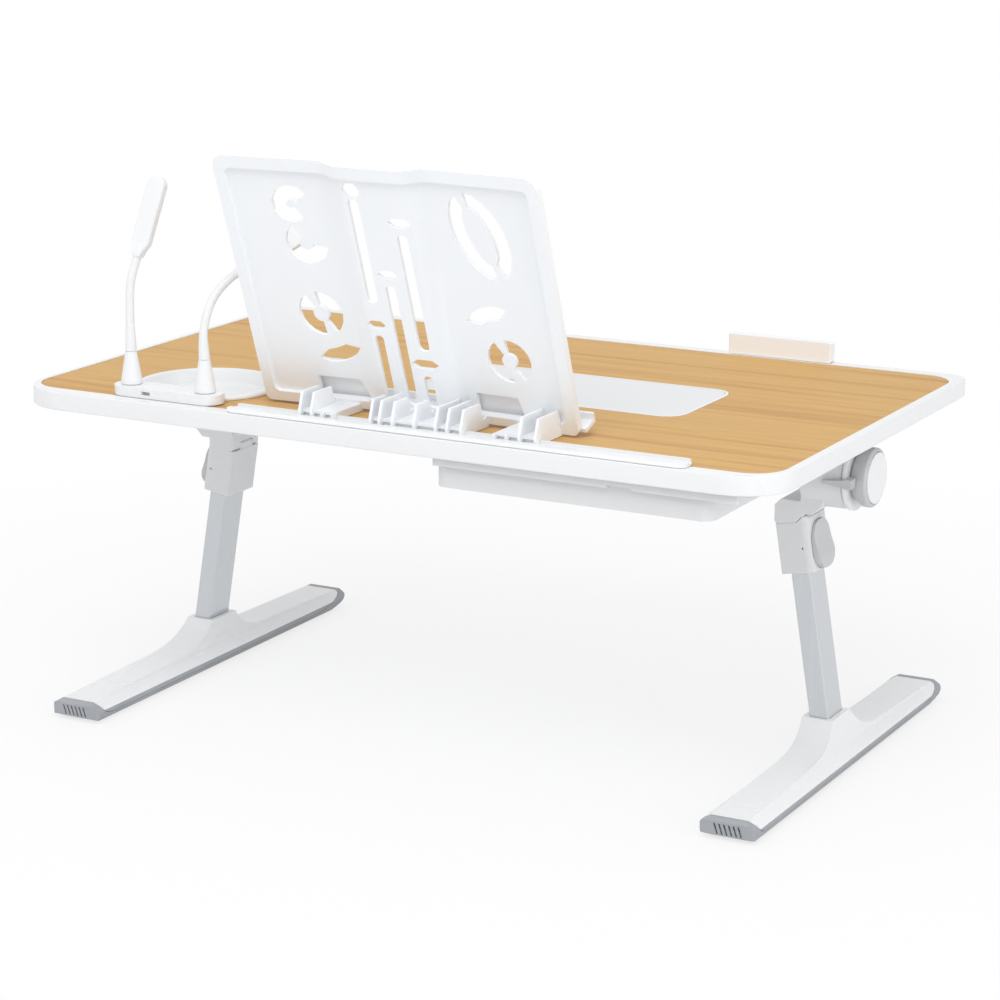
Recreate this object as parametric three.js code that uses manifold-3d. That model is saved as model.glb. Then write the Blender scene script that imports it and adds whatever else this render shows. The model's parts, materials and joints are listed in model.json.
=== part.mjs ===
// Folding laptop bed table: wood-topped tray on two tilting, folding, telescopic legs,
// with a drawer, a book stand in a slotted rail, a cup tray and two plug-in reading lamps.
// Millimetres, +Z up, +Y towards the rear edge, +X towards the lamp end.

import * as THREE from 'three';
import { mergeVertices } from 'three/addons/utils/BufferGeometryUtils.js';
import Module from 'manifold-3d';

const wasm = await Module();
wasm.setup();

// Gaps between pieces and how far a cutter runs past a face
const seatGap = 0.3;
const overrun = 6;
const weldTolerance = 0.0001;

// Steps on round shapes
const fineSteps = 48;
const roundSteps = 32;
const smallSteps = 16;
const cornerSteps = 3;
const softCornerSteps = 2;

// Table top: rim, skirt and the floor under the wood
const table = {
  length: 640,
  depth: 397,
  rearCorner: 41,
  frontCorner: 15.5,
  woodHeight: 272,
  endRim: 6.3,
  longRim: 12.6,
  lip: 0.45,
  skirtDrop: 14.4,
  skirtWall: 3,
  floorThickness: 2.4,
  edgeRound: 1.6,
  woodThickness: 9,
  woodCorner: 26,
  ribThickness: 2,
  ribDepth: 2.2,
  ribPitch: 78,
  ribInset: 8,
};

// Flush pad in the wood
const pad = {
  length: 230,
  depth: 108,
  centreX: -65,
  centreY: -3,
  corner: 18,
  thickness: 2.2,
  trimWidth: 2.6,
  trimRise: 0.2,
};

// Round cup tray dropped through the wood
const tray = {
  endInset: 133,
  rearInset: 75.5,
  rimRadius: 57,
  wallRadius: 52.4,
  wall: 1.9,
  rimRise: 3,
  rimRound: 1.5,
  draft: 2,
  floorThickness: 2,
};

// Lamp block on the rear rim, with two sockets
const block = {
  endInset: 83.5,
  rearInset: 11,
  length: 95.5,
  depth: 24.5,
  height: 7.7,
  roundEnd: 12,
  socketRadius: 5,
  socketDepth: 5.6,
  firstSocket: 13.5,
  socketSpacing: 67,
  portWidth: 8,
  portHeight: 2.8,
  portDepth: 5,
  portFromEnd: 34,
};

// Slotted rail for the stand's toes
const rail = {
  startInset: 194,
  endInset: 68,
  depth: 18.8,
  rearInset: 1.7,
  baseThickness: 1.3,
  wallRise: 2.6,
  ridgeRise: 3.4,
  ridgeWidth: 2,
  slotWidth: 7.2,
  edgeSlope: 2.6,
  endRadius: 7,
};

// Shallow drawer under the top, on two lipped rails
const drawer = {
  length: 220,
  hubClearance: 16,
  height: 22,
  startX: -48.5,
  rearInset: 12.5,
  skirtGap: 1.6,
  wall: 2.2,
  corner: 9,
  flangeWidth: 3.7,
  flangeThickness: 1.5,
  flangeDrop: 1.6,
  pullReach: 31,
  pullThickness: 2.4,
  pullInset: 6,
  pullCorner: 10,
};
const runner = {
  webThickness: 2,
  lipThickness: 1.6,
  overhang: 22,
  setback: 2,
  footThickness: 1.7,
  footWidth: 6,
  lipReach: 2.5,
  notchFrom: 142,
  notchWidth: 19,
};

// Stop bar plugged into the front rim
const stopper = {
  length: 90,
  thickness: 10.2,
  height: 16.3,
  centreX: -160,
  frontInset: 5.7,
  endRadius: 2,
  topRadius: 1.6,
  pegRadius: 2.2,
  pegLength: 9,
  pegSpacing: 46,
  pegClearance: 0.3,
};

// Tilt hub under each end
const hub = {
  endInset: 19.7,
  offsetY: -11,
  drop: 43,
  cheekThickness: 3,
  outerCheekRadius: 26.6,
  innerCheekRadius: 17,
  ribHalfWidth: 15,
  ribFootHalfWidth: 22,
  plateThickness: 2.8,
  plateInner: 56,
  plateOuter: 3.5,
  plateFront: 36,
  plateRear: 25,
  plateCorner: 6,
  barrelRadius: 25.7,
  barrelLength: 35,
  barrelChamfer: 1.5,
  boltRadius: 4,
  boltHeadRadius: 6.5,
  boltHeadLength: 4,
  knobRadius: 22.5,
  knobBackRadius: 17.5,
  knobSlope: 7,
  knobLength: 14,
  knobChamfer: 1.6,
  capRadius: 19.5,
  capThickness: 3.4,
  capDome: 1,
  capProud: 1.9,
  leverReach: 17.5,
  leverThickness: 3.6,
  leverRootHalf: 3.6,
  leverTipHalf: 1.2,
  leverRoot: 6,
};

// Arm and knuckle block under the hub barrel
const arm = {
  halfDepth: 19,
  innerX: -59,
  blockOuterX: -35.8,
  stepZ: -29.7,
  shoulderX: -20.3,
  shoulderZ: -21,
  throatX: -29,
  crownZ: -20,
  crownX: -54,
  lowZ: -48,
};

// Leg: splayed sleeve, oval tube, fold pin and release button
const leg = {
  splayDegrees: 9.34,
  topX: -45.6,
  topZ: -38,
  offsetY: -1.5,
  sleeveWidth: 26.6,
  sleeveDepth: 39,
  sleeveLength: 44.5,
  sleeveCorner: 6,
  sleeveInnerCorner: 2,
  sleeveFootEase: 3,
  latchWidth: 9,
  latchTop: 4,
  latchRise: 4.2,
  latchEase: 1.8,
  sleeveCap: 2,
  tubeWidth: 15.8,
  tubeDepth: 29.1,
  tubeCorner: 2,
  tubeWall: 1.4,
  tubeEndHeight: 15,
  pinRadius: 1.5,
  pinInset: 3.1,
  pinUp: 3.4,
  foldPastLevel: 8,
  knuckleHalf: 9,
  pinHalf: 17,
  pinBossHole: 1.8,
  lockHole: 0.8,
  pinHoleX: 6.5,
  pinHoleDrop: 20,
};
const button = {
  width: 31,
  height: 37,
  corner: 13,
  topDrop: 1.6,
  pocketDepth: 3.2,
  travel: 1.8,
  proud: 2.4,
  edge: 1,
  bulgeProud: 2.6,
  bulgeStartShare: 0.3,
  bulgeFullShare: 0.8,
};

// Foot: long shell with a socket for the tube, on a grip sole
const foot = {
  rear: 193,
  front: 189.5,
  halfWidth: 22.3,
  halfTop: 14.8,
  halfBottom: 15,
  bottomEase: 7,
  edgeEase: 2.3,
  widestHeight: 10.5,
  bevelHeight: 13,
  bevelHalf: 20.6,
  endTop: 16.5,
  bodyTop: 19.5,
  socketTop: 40,
  socketHalf: 12.4,
  socketNeck: 22,
  socketFlare: 1.5,
  humpRear: 74,
  humpFront: 68,
  socketRear: 18,
  socketFront: 18,
  planCorner: 3.5,
  axisOffset: 3.5,
  rearLip: 5,
  frontLip: 6.5,
  rearLipEase: 2.5,
  padRise: 2.2,
  rearPadStart: 142,
  rearPadEnd: 184,
  frontPadStart: 90,
  padSlope: 4,
  rearToeHeight: 4,
  frontEdge: 3.4,
};
// Toe under the front end and the sole's edge at both ends, as (run from the end, height)
const frontSweep = [[5, 8.4], [13, 4.6], [23, 1.9], [35, 0]];
const frontSoleEdge = [[6.5, 14.6], [17.5, 11.4], [31.5, 8], [42, 6]];
const rearSoleEdge = [[5, 15.6], [6, 13.6], [7.5, 11], [10.5, 8.6], [15.5, 6.8], [23, 6]];
// Grip slots in the rear end of each sole
const gripSlot = { count: 6, pitch: 3.75, width: 1.4, low: 4.6, high: 12.4, slant: 2.6, depth: 2 };

// Reading lamps: plug, bendable neck, flat head and its lens
const lamp = {
  plugRadius: 4.6,
  plugLength: 5,
  collarRadius: 8.2,
  collarHeight: 3,
  coneHeight: 22,
  neckRadius: 4.4,
  riseA: 77,
  reachA: 9,
  riseB: 69,
  reachB: 40,
  headWidth: 16,
  headLength: 57,
  headThickness: 7,
  headCorner: 6.6,
  headEdge: 1.6,
  lensWidth: 11,
  lensLength: 44,
  lensDepth: 1.6,
  lensCorner: 5.4,
  headingDegrees: 236,
  neckSteps: 16,
};
const lampBends = [
  { name: 'a', height: lamp.riseA, reach: lamp.reachA, pathShares: [[0, 0], [0, 0.4], [0.16, 0.7], [1, 1]] },
  {
    name: 'b',
    height: lamp.riseB,
    reach: lamp.reachB,
    pathShares: [[0, 0], [0, 0.33], [0.2, 0.66], [0.56, 0.87], [1, 1]],
  },
];

// Book stand: leaning open-book plate on three ribbed feet
const stand = {
  blockGap: 22,
  rearInset: 53,
  leanDegrees: 20.3,
  width: 265,
  top: 209.5,
  thickness: 6.5,
  sheet: 3,
  topCorner: 11,
  bottomCorner: 5,
  sideRim: 9,
  topRim: 10,
  bottomRim: 8.4,
  innerCorner: 5,
  wingEdge: 41.5,
  wingDip: 2.5,
  spineEdge: 27,
  spineRise: 4,
  ledgeDepth: 15,
  ledgeThickness: 3,
  ledgeOverhang: 3,
  lipHeight: 5,
  lipThickness: 2,
  shelfHeight: 6.4,
  shelfThickness: 2,
  shelfRear: 36.5,
  ribThickness: 2,
  ribHeight: 20,
  ribRear: 35.5,
  ribRoot: 3,
  toeThickness: 5.6,
};
const standFeet = [
  { tall: [79.5, 69.5], low: [60.5, 51.5] },
  { tall: [19, 11.5, 0.5, -17.5, -35.5, -45, -56.5], low: [] },
  { tall: [-104, -117], low: [-83.5, -93.5] },
];
const windows = [
  { outer: 84.7, innerTop: 48.8, innerBottom: 41.5, top: 25.5, bottom: 8.6 },
  { outer: -49.5, innerTop: -84.2, innerBottom: -88, top: 25.5, bottom: 8.6 },
];
// Pin-shaped slots of the spine: shaft centre, ends, width, then head height and width
const pinSlots = [
  { x: 18.6, low: 97, high: 182, width: 8.8, headAt: 189, headWidth: 15, headHeight: 14 },
  { x: -16.8, low: 60, high: 156, width: 9, headAt: 165.5, headWidth: 20, headHeight: 9 },
  { x: 1.8, low: 12, high: 113, width: 8.4, headAt: 122, headWidth: 18, headHeight: 8 },
  { x: 20, low: 12, high: 70, width: 7.6, headAt: 79, headWidth: 16, headHeight: 7.5 },
  { x: -15, low: 12, high: 39, width: 8, headAt: 49, headWidth: 24, headHeight: 9 },
];
// Stencil numerals: arc bands with centre, radii, stroke, start and end in degrees
const numeralLean = 20;
const strokeWidth = 12;
const numerals = [
  [
    { x: 75, t: 171, rx: 17, ry: 15, from: -105, to: 168 },
    { x: 69, t: 139, rx: 18, ry: 17, from: -150, to: 78 },
  ],
  [
    { x: 70, t: 80, rx: 18.5, ry: 18.5, from: 104, to: 256 },
    { x: 70, t: 80, rx: 18.5, ry: 18.5, from: -76, to: 76 },
    { x: 62, t: 53, rx: 21, ry: 13, from: -150, to: -20 },
  ],
  [
    { x: -77.5, t: 157, rx: 21, ry: 36, from: 100, to: 260 },
    { x: -77.5, t: 157, rx: 21, ry: 36, from: -80, to: 80 },
  ],
  [
    { x: -83, t: 56, rx: 18, ry: 18, from: 104, to: 256 },
    { x: -83, t: 56, rx: 18, ry: 18, from: -76, to: 76 },
    { x: -73, t: 86, rx: 21, ry: 14, from: 30, to: 150 },
  ],
];

// Page clips hinged on the ledge
const clip = {
  centre: 68,
  width: 46,
  height: 32,
  thickness: 2.4,
  pageGap: 5,
  pinRadius: 1.5,
  bore: 1.8,
  knuckle: 3,
  pinFromPlate: 9.5,
  pinHeight: 6.6,
  earThickness: 3,
  corner: 6,
  sideGap: 0.5,
};

// Heights worked out from the table
const skirtBottom = table.woodHeight - table.skirtDrop;
const rimTop = table.woodHeight + table.lip;
const woodBottom = table.woodHeight - table.woodThickness;
const pocketFloor = woodBottom - seatGap;
const frameUnderside = pocketFloor - table.floorThickness;
const topSeat = rimTop + seatGap;
const halfLength = table.length / 2;
const halfDepth = table.depth / 2;
const woodLength = table.length - 2 * table.endRim;
const woodDepth = table.depth - 2 * table.longRim;
const hubX = halfLength - hub.endInset;
const hubZ = table.woodHeight - hub.drop;
const splay = THREE.MathUtils.degToRad(leg.splayDegrees);
const lean = THREE.MathUtils.degToRad(stand.leanDegrees);
const trayX = halfLength - tray.endInset;
const trayY = halfDepth - tray.rearInset;
const railSlotFar = halfDepth - rail.rearInset - rail.depth + rail.ridgeWidth;
const standPlane = halfDepth - stand.rearInset;
const blockStart = halfLength - block.endInset - block.length;
const standX = blockStart - stand.blockGap - stand.width / 2;
const plateBottom = (seatGap + stand.spineRise * Math.sin(lean)) / Math.cos(lean);

// Colours
const paints = {
  whiteGloss: () => new THREE.MeshStandardMaterial({ color: 0xf0f1f3, roughness: 0.35, metalness: 0 }),
  oak: () => new THREE.MeshStandardMaterial({ color: 0xc9924f, roughness: 0.55, metalness: 0 }),
  paleGrey: () => new THREE.MeshStandardMaterial({ color: 0xdfe2e6, roughness: 0.5, metalness: 0 }),
  legGrey: () => new THREE.MeshStandardMaterial({ color: 0xb4b9bf, roughness: 0.5, metalness: 0 }),
  darkGrey: () => new THREE.MeshStandardMaterial({ color: 0x7f858c, roughness: 0.55, metalness: 0 }),
  soleGrey: () => new THREE.MeshStandardMaterial({ color: 0x8d9196, roughness: 0.8, metalness: 0 }),
  anodised: () => new THREE.MeshStandardMaterial({ color: 0x8d99a6, roughness: 0.35, metalness: 0.9 }),
  steel: () => new THREE.MeshStandardMaterial({ color: 0xa8abaf, roughness: 0.3, metalness: 1 }),
  silicone: () => new THREE.MeshStandardMaterial({ color: 0xf4f5f6, roughness: 0.6, metalness: 0 }),
  lens: () => new THREE.MeshStandardMaterial({ color: 0xfafaf4, roughness: 0.3, metalness: 0 }),
};

// Solids from geometries and back
function solidFrom(geometry) {
  const plain = geometry.clone();
  plain.deleteAttribute('normal');
  plain.deleteAttribute('uv');
  const merged = mergeVertices(plain, weldTolerance);
  const mesh = new wasm.Mesh({
    numProp: 3,
    vertProperties: new Float32Array(merged.attributes.position.array),
    triVerts: new Uint32Array(merged.index.array),
  });
  return new wasm.Manifold(mesh);
}

function geometryFrom(solid) {
  const { vertProperties, triVerts } = solid.getMesh();
  const geometry = new THREE.BufferGeometry();
  geometry.setAttribute('position', new THREE.BufferAttribute(new Float32Array(vertProperties), 3));
  geometry.setIndex(new THREE.BufferAttribute(new Uint32Array(triVerts), 1));
  return geometry;
}

function union(solids) {
  return solids.reduce((whole, next) => whole.add(next));
}

function cutAll(solid, cutters) {
  return cutters.reduce((whole, next) => whole.subtract(next), solid);
}

// A mirror copy with its faces turned back outward
function mirroredGeometry(geometry) {
  const copy = geometry.clone();
  copy.scale(-1, 1, 1);
  const corners = copy.index.array;
  for (let face = 0; face < corners.length; face += 3) {
    [corners[face], corners[face + 1]] = [corners[face + 1], corners[face]];
  }
  return copy;
}

function addPiece(parent, name, solid, material, side = 1) {
  const geometry = side < 0 ? mirroredGeometry(geometryFrom(solid)) : geometryFrom(solid);
  geometry.computeVertexNormals();
  const mesh = new THREE.Mesh(geometry, material);
  mesh.name = name;
  parent.add(mesh);
}

// Outlines
function cornersOutline(centreX, centreY, length, depth, radii) {
  const quarter = Math.PI / 2;
  const outline = new THREE.Shape();
  const corners = [[1, 1], [-1, 1], [-1, -1], [1, -1]];
  corners.forEach(([sideX, sideY], index) => {
    const radius = radii[index];
    const x = centreX + sideX * (length / 2 - radius);
    const y = centreY + sideY * (depth / 2 - radius);
    outline.absarc(x, y, radius, index * quarter, (index + 1) * quarter, false);
  });
  return outline;
}

function roundedOutline(centreX, centreY, length, depth, radius) {
  return cornersOutline(centreX, centreY, length, depth, [radius, radius, radius, radius]);
}

function boxOutline(lowX, lowY, highX, highY) {
  return polygonOutline([[lowX, lowY], [highX, lowY], [highX, highY], [lowX, highY]]);
}

function polygonOutline(points) {
  return new THREE.Shape(points.map(([x, y]) => new THREE.Vector2(x, y)));
}

function circleOutline(x, y, radius) {
  return new THREE.Shape().absarc(x, y, radius, 0, 2 * Math.PI, false);
}

// Prisms along the three axes; outlines across X hold (Y, Z), across Y hold (X, Z)
function extruded(outline, length, steps) {
  return new THREE.ExtrudeGeometry(outline, { depth: length, bevelEnabled: false, curveSegments: steps });
}

function prismZ(outline, low, high, steps = cornerSteps) {
  return solidFrom(extruded(outline, high - low, steps).translate(0, 0, low));
}

const uprightX = new THREE.Matrix4().makeBasis(
  new THREE.Vector3(0, 1, 0), new THREE.Vector3(0, 0, 1), new THREE.Vector3(1, 0, 0));
const uprightY = new THREE.Matrix4().makeBasis(
  new THREE.Vector3(1, 0, 0), new THREE.Vector3(0, 0, 1), new THREE.Vector3(0, -1, 0));

function prismX(outline, low, high, steps = cornerSteps) {
  return solidFrom(extruded(outline, high - low, steps).applyMatrix4(uprightX).translate(low, 0, 0));
}

function prismY(outline, low, high, steps = cornerSteps) {
  return solidFrom(extruded(outline, high - low, steps).applyMatrix4(uprightY).translate(0, high, 0));
}

// Round pieces: a profile of (radius, height) turned round Z, or laid along X
function turnedZ(profile, steps) {
  const points = profile.map(([radius, height]) => new THREE.Vector2(radius, height));
  return new THREE.LatheGeometry(points, steps).rotateX(Math.PI / 2);
}

function turnedX(profile, steps) {
  return solidFrom(turnedZ(profile, steps).rotateY(Math.PI / 2));
}

function rodX(radius, low, high, steps = smallSteps) {
  return turnedX([[0, low], [radius, low], [radius, high], [0, high]], steps);
}

function rodY(x, z, radius, low, high) {
  return prismY(circleOutline(x, z, radius), low, high, smallSteps / 2);
}

function rodZ(x, y, radius, low, high) {
  return prismZ(circleOutline(x, y, radius), low, high, smallSteps / 2);
}

// Rounded slab whose outer edges are eased
function easedSlab(outline, low, high, ease, steps = cornerSteps) {
  const geometry = new THREE.ExtrudeGeometry(outline, {
    depth: high - low - 2 * ease,
    bevelEnabled: true,
    bevelThickness: ease,
    bevelSize: ease,
    bevelOffset: -ease,
    bevelSegments: 2,
    curveSegments: steps,
  });
  return geometry.translate(0, 0, low + ease);
}

// Wood panel, its rim frame and what is let into them
const padOutline = (grow) => roundedOutline(
  pad.centreX, pad.centreY, pad.length + 2 * grow, pad.depth + 2 * grow, pad.corner + grow);
const drawerRear = halfDepth - drawer.rearInset;
const drawerFront = hub.offsetY + hub.plateRear + drawer.hubClearance;
const drawerDepth = drawerRear - drawerFront;
const drawerTop = skirtBottom - drawer.skirtGap;
const drawerEnd = drawer.startX - drawer.length;
const runnerEnd = drawerEnd - runner.overhang;
const runnerStart = drawer.startX - runner.setback;

function pegPlaces() {
  return [-1, 1].map((side) => stopper.centreX + (side * stopper.pegSpacing) / 2);
}
const stopperY = -halfDepth + stopper.frontInset;

function tableOutline(inset) {
  const rear = table.rearCorner - inset;
  const front = table.frontCorner - inset;
  return cornersOutline(0, 0, table.length - 2 * inset, table.depth - 2 * inset, [rear, rear, front, front]);
}

function tableFrame() {
  const outline = tableOutline(0);
  const body = solidFrom(easedSlab(outline, skirtBottom, rimTop, table.edgeRound));
  const pocket = roundedOutline(
    0, 0, woodLength + 2 * seatGap, woodDepth + 2 * seatGap, table.woodCorner + seatGap);
  const recess = tableOutline(table.skirtWall);
  const shell = cutAll(body, [
    prismZ(pocket, pocketFloor, rimTop + overrun),
    prismZ(recess, skirtBottom - overrun, frameUnderside),
  ]);
  const ribs = [];
  const ribLow = frameUnderside - table.ribDepth;
  const ribHigh = frameUnderside + table.floorThickness / 2;
  const ribSideX = woodLength / 2 - table.ribInset;
  const ribSideY = woodDepth / 2 - table.ribInset;
  const halfRib = table.ribThickness / 2;
  for (let x = -3 * table.ribPitch; x < ribSideX; x += table.ribPitch) {
    ribs.push(prismZ(boxOutline(x - halfRib, -ribSideY, x + halfRib, ribSideY), ribLow, ribHigh));
  }
  for (const y of [-2 * table.ribPitch, -table.ribPitch, table.ribPitch, 2 * table.ribPitch]) {
    ribs.push(prismZ(boxOutline(-ribSideX, y - halfRib, ribSideX, y + halfRib), ribLow, ribHigh));
  }
  const footprints = [
    boxOutline(runnerEnd - seatGap, drawerFront - runner.footWidth - drawer.flangeWidth,
      runnerStart + seatGap, drawerRear + runner.footWidth + drawer.flangeWidth),
    ...[-1, 1].map((side) => boxOutline(
      Math.min(side * (hubX - hub.plateInner - seatGap), side * (hubX + hub.plateOuter + seatGap)),
      hub.offsetY - hub.plateFront - seatGap,
      Math.max(side * (hubX - hub.plateInner - seatGap), side * (hubX + hub.plateOuter + seatGap)),
      hub.offsetY + hub.plateRear + seatGap)),
  ];
  const clearRibs = cutAll(union(ribs), footprints.map(
    (outlineBelow) => prismZ(outlineBelow, ribLow - overrun, ribHigh + overrun)));
  const pegHoles = pegPlaces().map((x) => rodZ(
    x, stopperY, stopper.pegRadius + stopper.pegClearance, skirtBottom - overrun, rimTop + overrun));
  return cutAll(shell.add(clearRibs), pegHoles);
}

function woodPanel() {
  const outline = roundedOutline(0, 0, woodLength, woodDepth, table.woodCorner);
  const board = prismZ(outline, woodBottom, table.woodHeight);
  const padFloor = table.woodHeight - pad.thickness - seatGap;
  const trayHole = new THREE.Shape().absarc(trayX, trayY, tray.wallRadius + seatGap, 0, 2 * Math.PI, false);
  return cutAll(board, [
    prismZ(padOutline(seatGap), padFloor, table.woodHeight + overrun),
    prismZ(trayHole, woodBottom - overrun, table.woodHeight + overrun, fineSteps / 2),
  ]);
}

function padTrim() {
  const low = table.woodHeight - pad.thickness;
  const ring = prismZ(padOutline(0), low, table.woodHeight + pad.trimRise);
  return ring.subtract(prismZ(padOutline(-pad.trimWidth), low - overrun, table.woodHeight + overrun));
}

function centrePad() {
  return prismZ(padOutline(-pad.trimWidth - seatGap), table.woodHeight - pad.thickness, table.woodHeight);
}

function cupTray() {
  const under = table.woodHeight + seatGap;
  const top = under + tray.rimRise;
  const low = woodBottom + seatGap;
  const inner = tray.wallRadius - tray.wall;
  const profile = [
    [0, low],
    [tray.wallRadius - tray.draft, low],
    [tray.wallRadius, under],
    [tray.rimRadius, under],
    [tray.rimRadius, top - tray.rimRound],
    [tray.rimRadius - tray.rimRound, top],
    [inner + tray.rimRound, top],
    [inner, top - tray.rimRound],
    [inner - tray.draft, low + tray.floorThickness],
    [0, low + tray.floorThickness],
  ];
  const bowl = solidFrom(turnedZ(profile, fineSteps).translate(trayX, trayY, 0));
  const blockLow = halfDepth - block.rearInset - block.depth - seatGap;
  const shadow = boxOutline(trayX - tray.rimRadius - overrun, blockLow, trayX + tray.rimRadius + overrun,
    halfDepth);
  return bowl.subtract(prismZ(shadow, table.woodHeight, top + overrun));
}

function socketPlaces() {
  const first = halfLength - block.endInset - block.firstSocket;
  return [first, first - block.socketSpacing];
}
const blockTop = topSeat + block.height;
const blockCentreY = halfDepth - block.rearInset - block.depth / 2;

function lampBlock() {
  const high = halfLength - block.endInset;
  const low = high - block.length;
  const rear = blockCentreY + block.depth / 2;
  const outline = roundedOutline((low + high) / 2, blockCentreY, block.length, block.depth, block.roundEnd);
  const body = prismZ(outline, topSeat, blockTop);
  const sockets = socketPlaces().map((x) => rodZ(
    x, blockCentreY, block.socketRadius, blockTop - block.socketDepth, blockTop + overrun));
  const portX = high - block.portFromEnd;
  const portZ = (topSeat + blockTop) / 2;
  const port = boxOutline(portX - block.portWidth / 2, portZ - block.portHeight / 2,
    portX + block.portWidth / 2, portZ + block.portHeight / 2);
  return cutAll(body, [...sockets, prismY(port, rear - block.portDepth, rear + overrun)]);
}

function standRail() {
  const rear = halfDepth - rail.rearInset;
  const far = rear - rail.depth;
  const low = topSeat;
  const slotFloor = low + rail.baseThickness;
  const wallFoot = far + rail.ridgeWidth + rail.slotWidth;
  const profile = polygonOutline([
    [far, low],
    [rear, low],
    [rear, slotFloor - rail.baseThickness / 2],
    [rear - rail.edgeSlope, low + rail.wallRise],
    [wallFoot, low + rail.wallRise],
    [wallFoot, slotFloor],
    [far + rail.ridgeWidth, slotFloor],
    [far + rail.ridgeWidth, low + rail.ridgeRise],
    [far, low + rail.ridgeRise],
  ]);
  const start = -(halfLength - rail.endInset);
  const end = halfLength - rail.startInset;
  const bar = prismX(profile, start, end);
  const plan = roundedOutline((start + end) / 2, (far + rear) / 2, end - start, rail.depth, rail.endRadius);
  return bar.intersect(prismZ(plan, low - overrun, low + rail.ridgeRise + overrun));
}

// Drawer and its runners
const flangeTop = drawerTop - drawer.flangeDrop;
const flangeBottom = flangeTop - drawer.flangeThickness;

function drawerBox() {
  const centreX = drawer.startX - drawer.length / 2;
  const centreY = (drawerFront + drawerRear) / 2;
  const low = drawerTop - drawer.height;
  const body = prismZ(
    roundedOutline(centreX, centreY, drawer.length, drawerDepth, drawer.corner), low, drawerTop);
  const flange = prismZ(roundedOutline(centreX, centreY, drawer.length,
    drawerDepth + 2 * drawer.flangeWidth, drawer.corner), flangeBottom, flangeTop);
  const pullDepth = drawerDepth - 2 * drawer.pullInset;
  const pullLow = drawerTop - drawer.pullThickness;
  const pull = prismZ(roundedOutline(drawerEnd, centreY, 2 * drawer.pullReach, pullDepth,
    drawer.pullCorner), pullLow, drawerTop);
  const inside = prismZ(roundedOutline(centreX, centreY, drawer.length - 2 * drawer.wall,
    drawerDepth - 2 * drawer.wall, drawer.corner - drawer.wall), low + drawer.wall, drawerTop + overrun);
  return union([body, flange, pull]).subtract(inside);
}

function drawerRunner(side, notched) {
  const wallY = side > 0 ? drawerRear : drawerFront;
  const webInner = wallY + side * (drawer.flangeWidth + seatGap);
  const webOuter = webInner + side * runner.webThickness;
  const lipInner = webInner - side * runner.lipReach;
  const footInner = webOuter - side * runner.footWidth;
  const lipTop = flangeBottom - seatGap;
  const lipLow = lipTop - runner.lipThickness;
  const top = frameUnderside - seatGap;
  const profile = polygonOutline([
    [lipInner, lipLow],
    [webOuter, lipLow],
    [webOuter, top],
    [footInner, top],
    [footInner, top - runner.footThickness],
    [webInner, top - runner.footThickness],
    [webInner, lipTop],
    [lipInner, lipTop],
  ]);
  const bar = prismX(profile, runnerEnd, runnerStart);
  if (!notched) return bar;
  const notchX = drawer.startX - runner.notchFrom;
  const notch = boxOutline(notchX - runner.notchWidth, wallY - overrun, notchX, webOuter + overrun);
  return bar.subtract(prismZ(notch, lipLow - overrun, lipTop + seatGap));
}

// Stop bar with two pegs
function stopBar() {
  const low = topSeat;
  const top = low + stopper.height;
  const face = roundedOutline(
    stopper.centreX, (low + top) / 2, stopper.length, stopper.height, stopper.topRadius);
  const rearY = stopperY + stopper.thickness / 2;
  const frontY = stopperY - stopper.thickness / 2;
  const plan = roundedOutline(
    stopper.centreX, stopperY, stopper.length, stopper.thickness, stopper.endRadius);
  const bar = prismY(face, frontY, rearY).intersect(prismZ(plan, low, top));
  const pegs = pegPlaces().map((x) => rodZ(
    x, stopperY, stopper.pegRadius, low - stopper.pegLength, low + stopper.pegRadius));
  return union([bar, ...pegs]);
}

// Tilt hub: bracket, bolt, knob and cap, about its own axis with the cheek's outer face at zero
const cheekInner = -hub.cheekThickness;
const barrelOuter = cheekInner - seatGap;
const barrelInner = barrelOuter - hub.barrelLength;
const innerCheekOuter = barrelInner - seatGap;
const innerCheekInner = innerCheekOuter - hub.cheekThickness;
const plateTop = frameUnderside - seatGap - hubZ;
const plateLow = plateTop - hub.plateThickness;
const boreRadius = hub.boltRadius + seatGap;

function cheek(radius, low, high) {
  const rib = polygonOutline([
    [-Math.min(radius, hub.ribHalfWidth), 0],
    [Math.min(radius, hub.ribHalfWidth), 0],
    [Math.min(radius, hub.ribFootHalfWidth), plateTop - hub.plateThickness / 2],
    [-Math.min(radius, hub.ribFootHalfWidth), plateTop - hub.plateThickness / 2],
  ]);
  return union([rodX(radius, low, high, roundSteps), prismX(rib, low, high)]);
}

function hubBracket() {
  const plateOutline = roundedOutline(
    (hub.plateOuter - hub.plateInner) / 2, (hub.plateRear - hub.plateFront) / 2,
    hub.plateInner + hub.plateOuter, hub.plateRear + hub.plateFront, hub.plateCorner);
  const parts = union([
    prismZ(plateOutline, plateLow, plateTop),
    cheek(hub.outerCheekRadius, cheekInner, 0),
    cheek(hub.innerCheekRadius, innerCheekInner, innerCheekOuter),
  ]);
  return parts.subtract(rodX(boreRadius, innerCheekInner - overrun, overrun));
}

const capBack = hub.knobLength + hub.capProud - hub.capThickness - hub.capDome + seatGap;
const boltEnd = capBack - seatGap - hub.cheekThickness;

function clampBolt() {
  const headOuter = innerCheekInner - seatGap;
  return turnedX([
    [0, headOuter - hub.boltHeadLength],
    [hub.boltHeadRadius, headOuter - hub.boltHeadLength],
    [hub.boltHeadRadius, headOuter],
    [hub.boltRadius, headOuter],
    [hub.boltRadius, boltEnd],
    [0, boltEnd],
  ], smallSteps);
}

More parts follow.
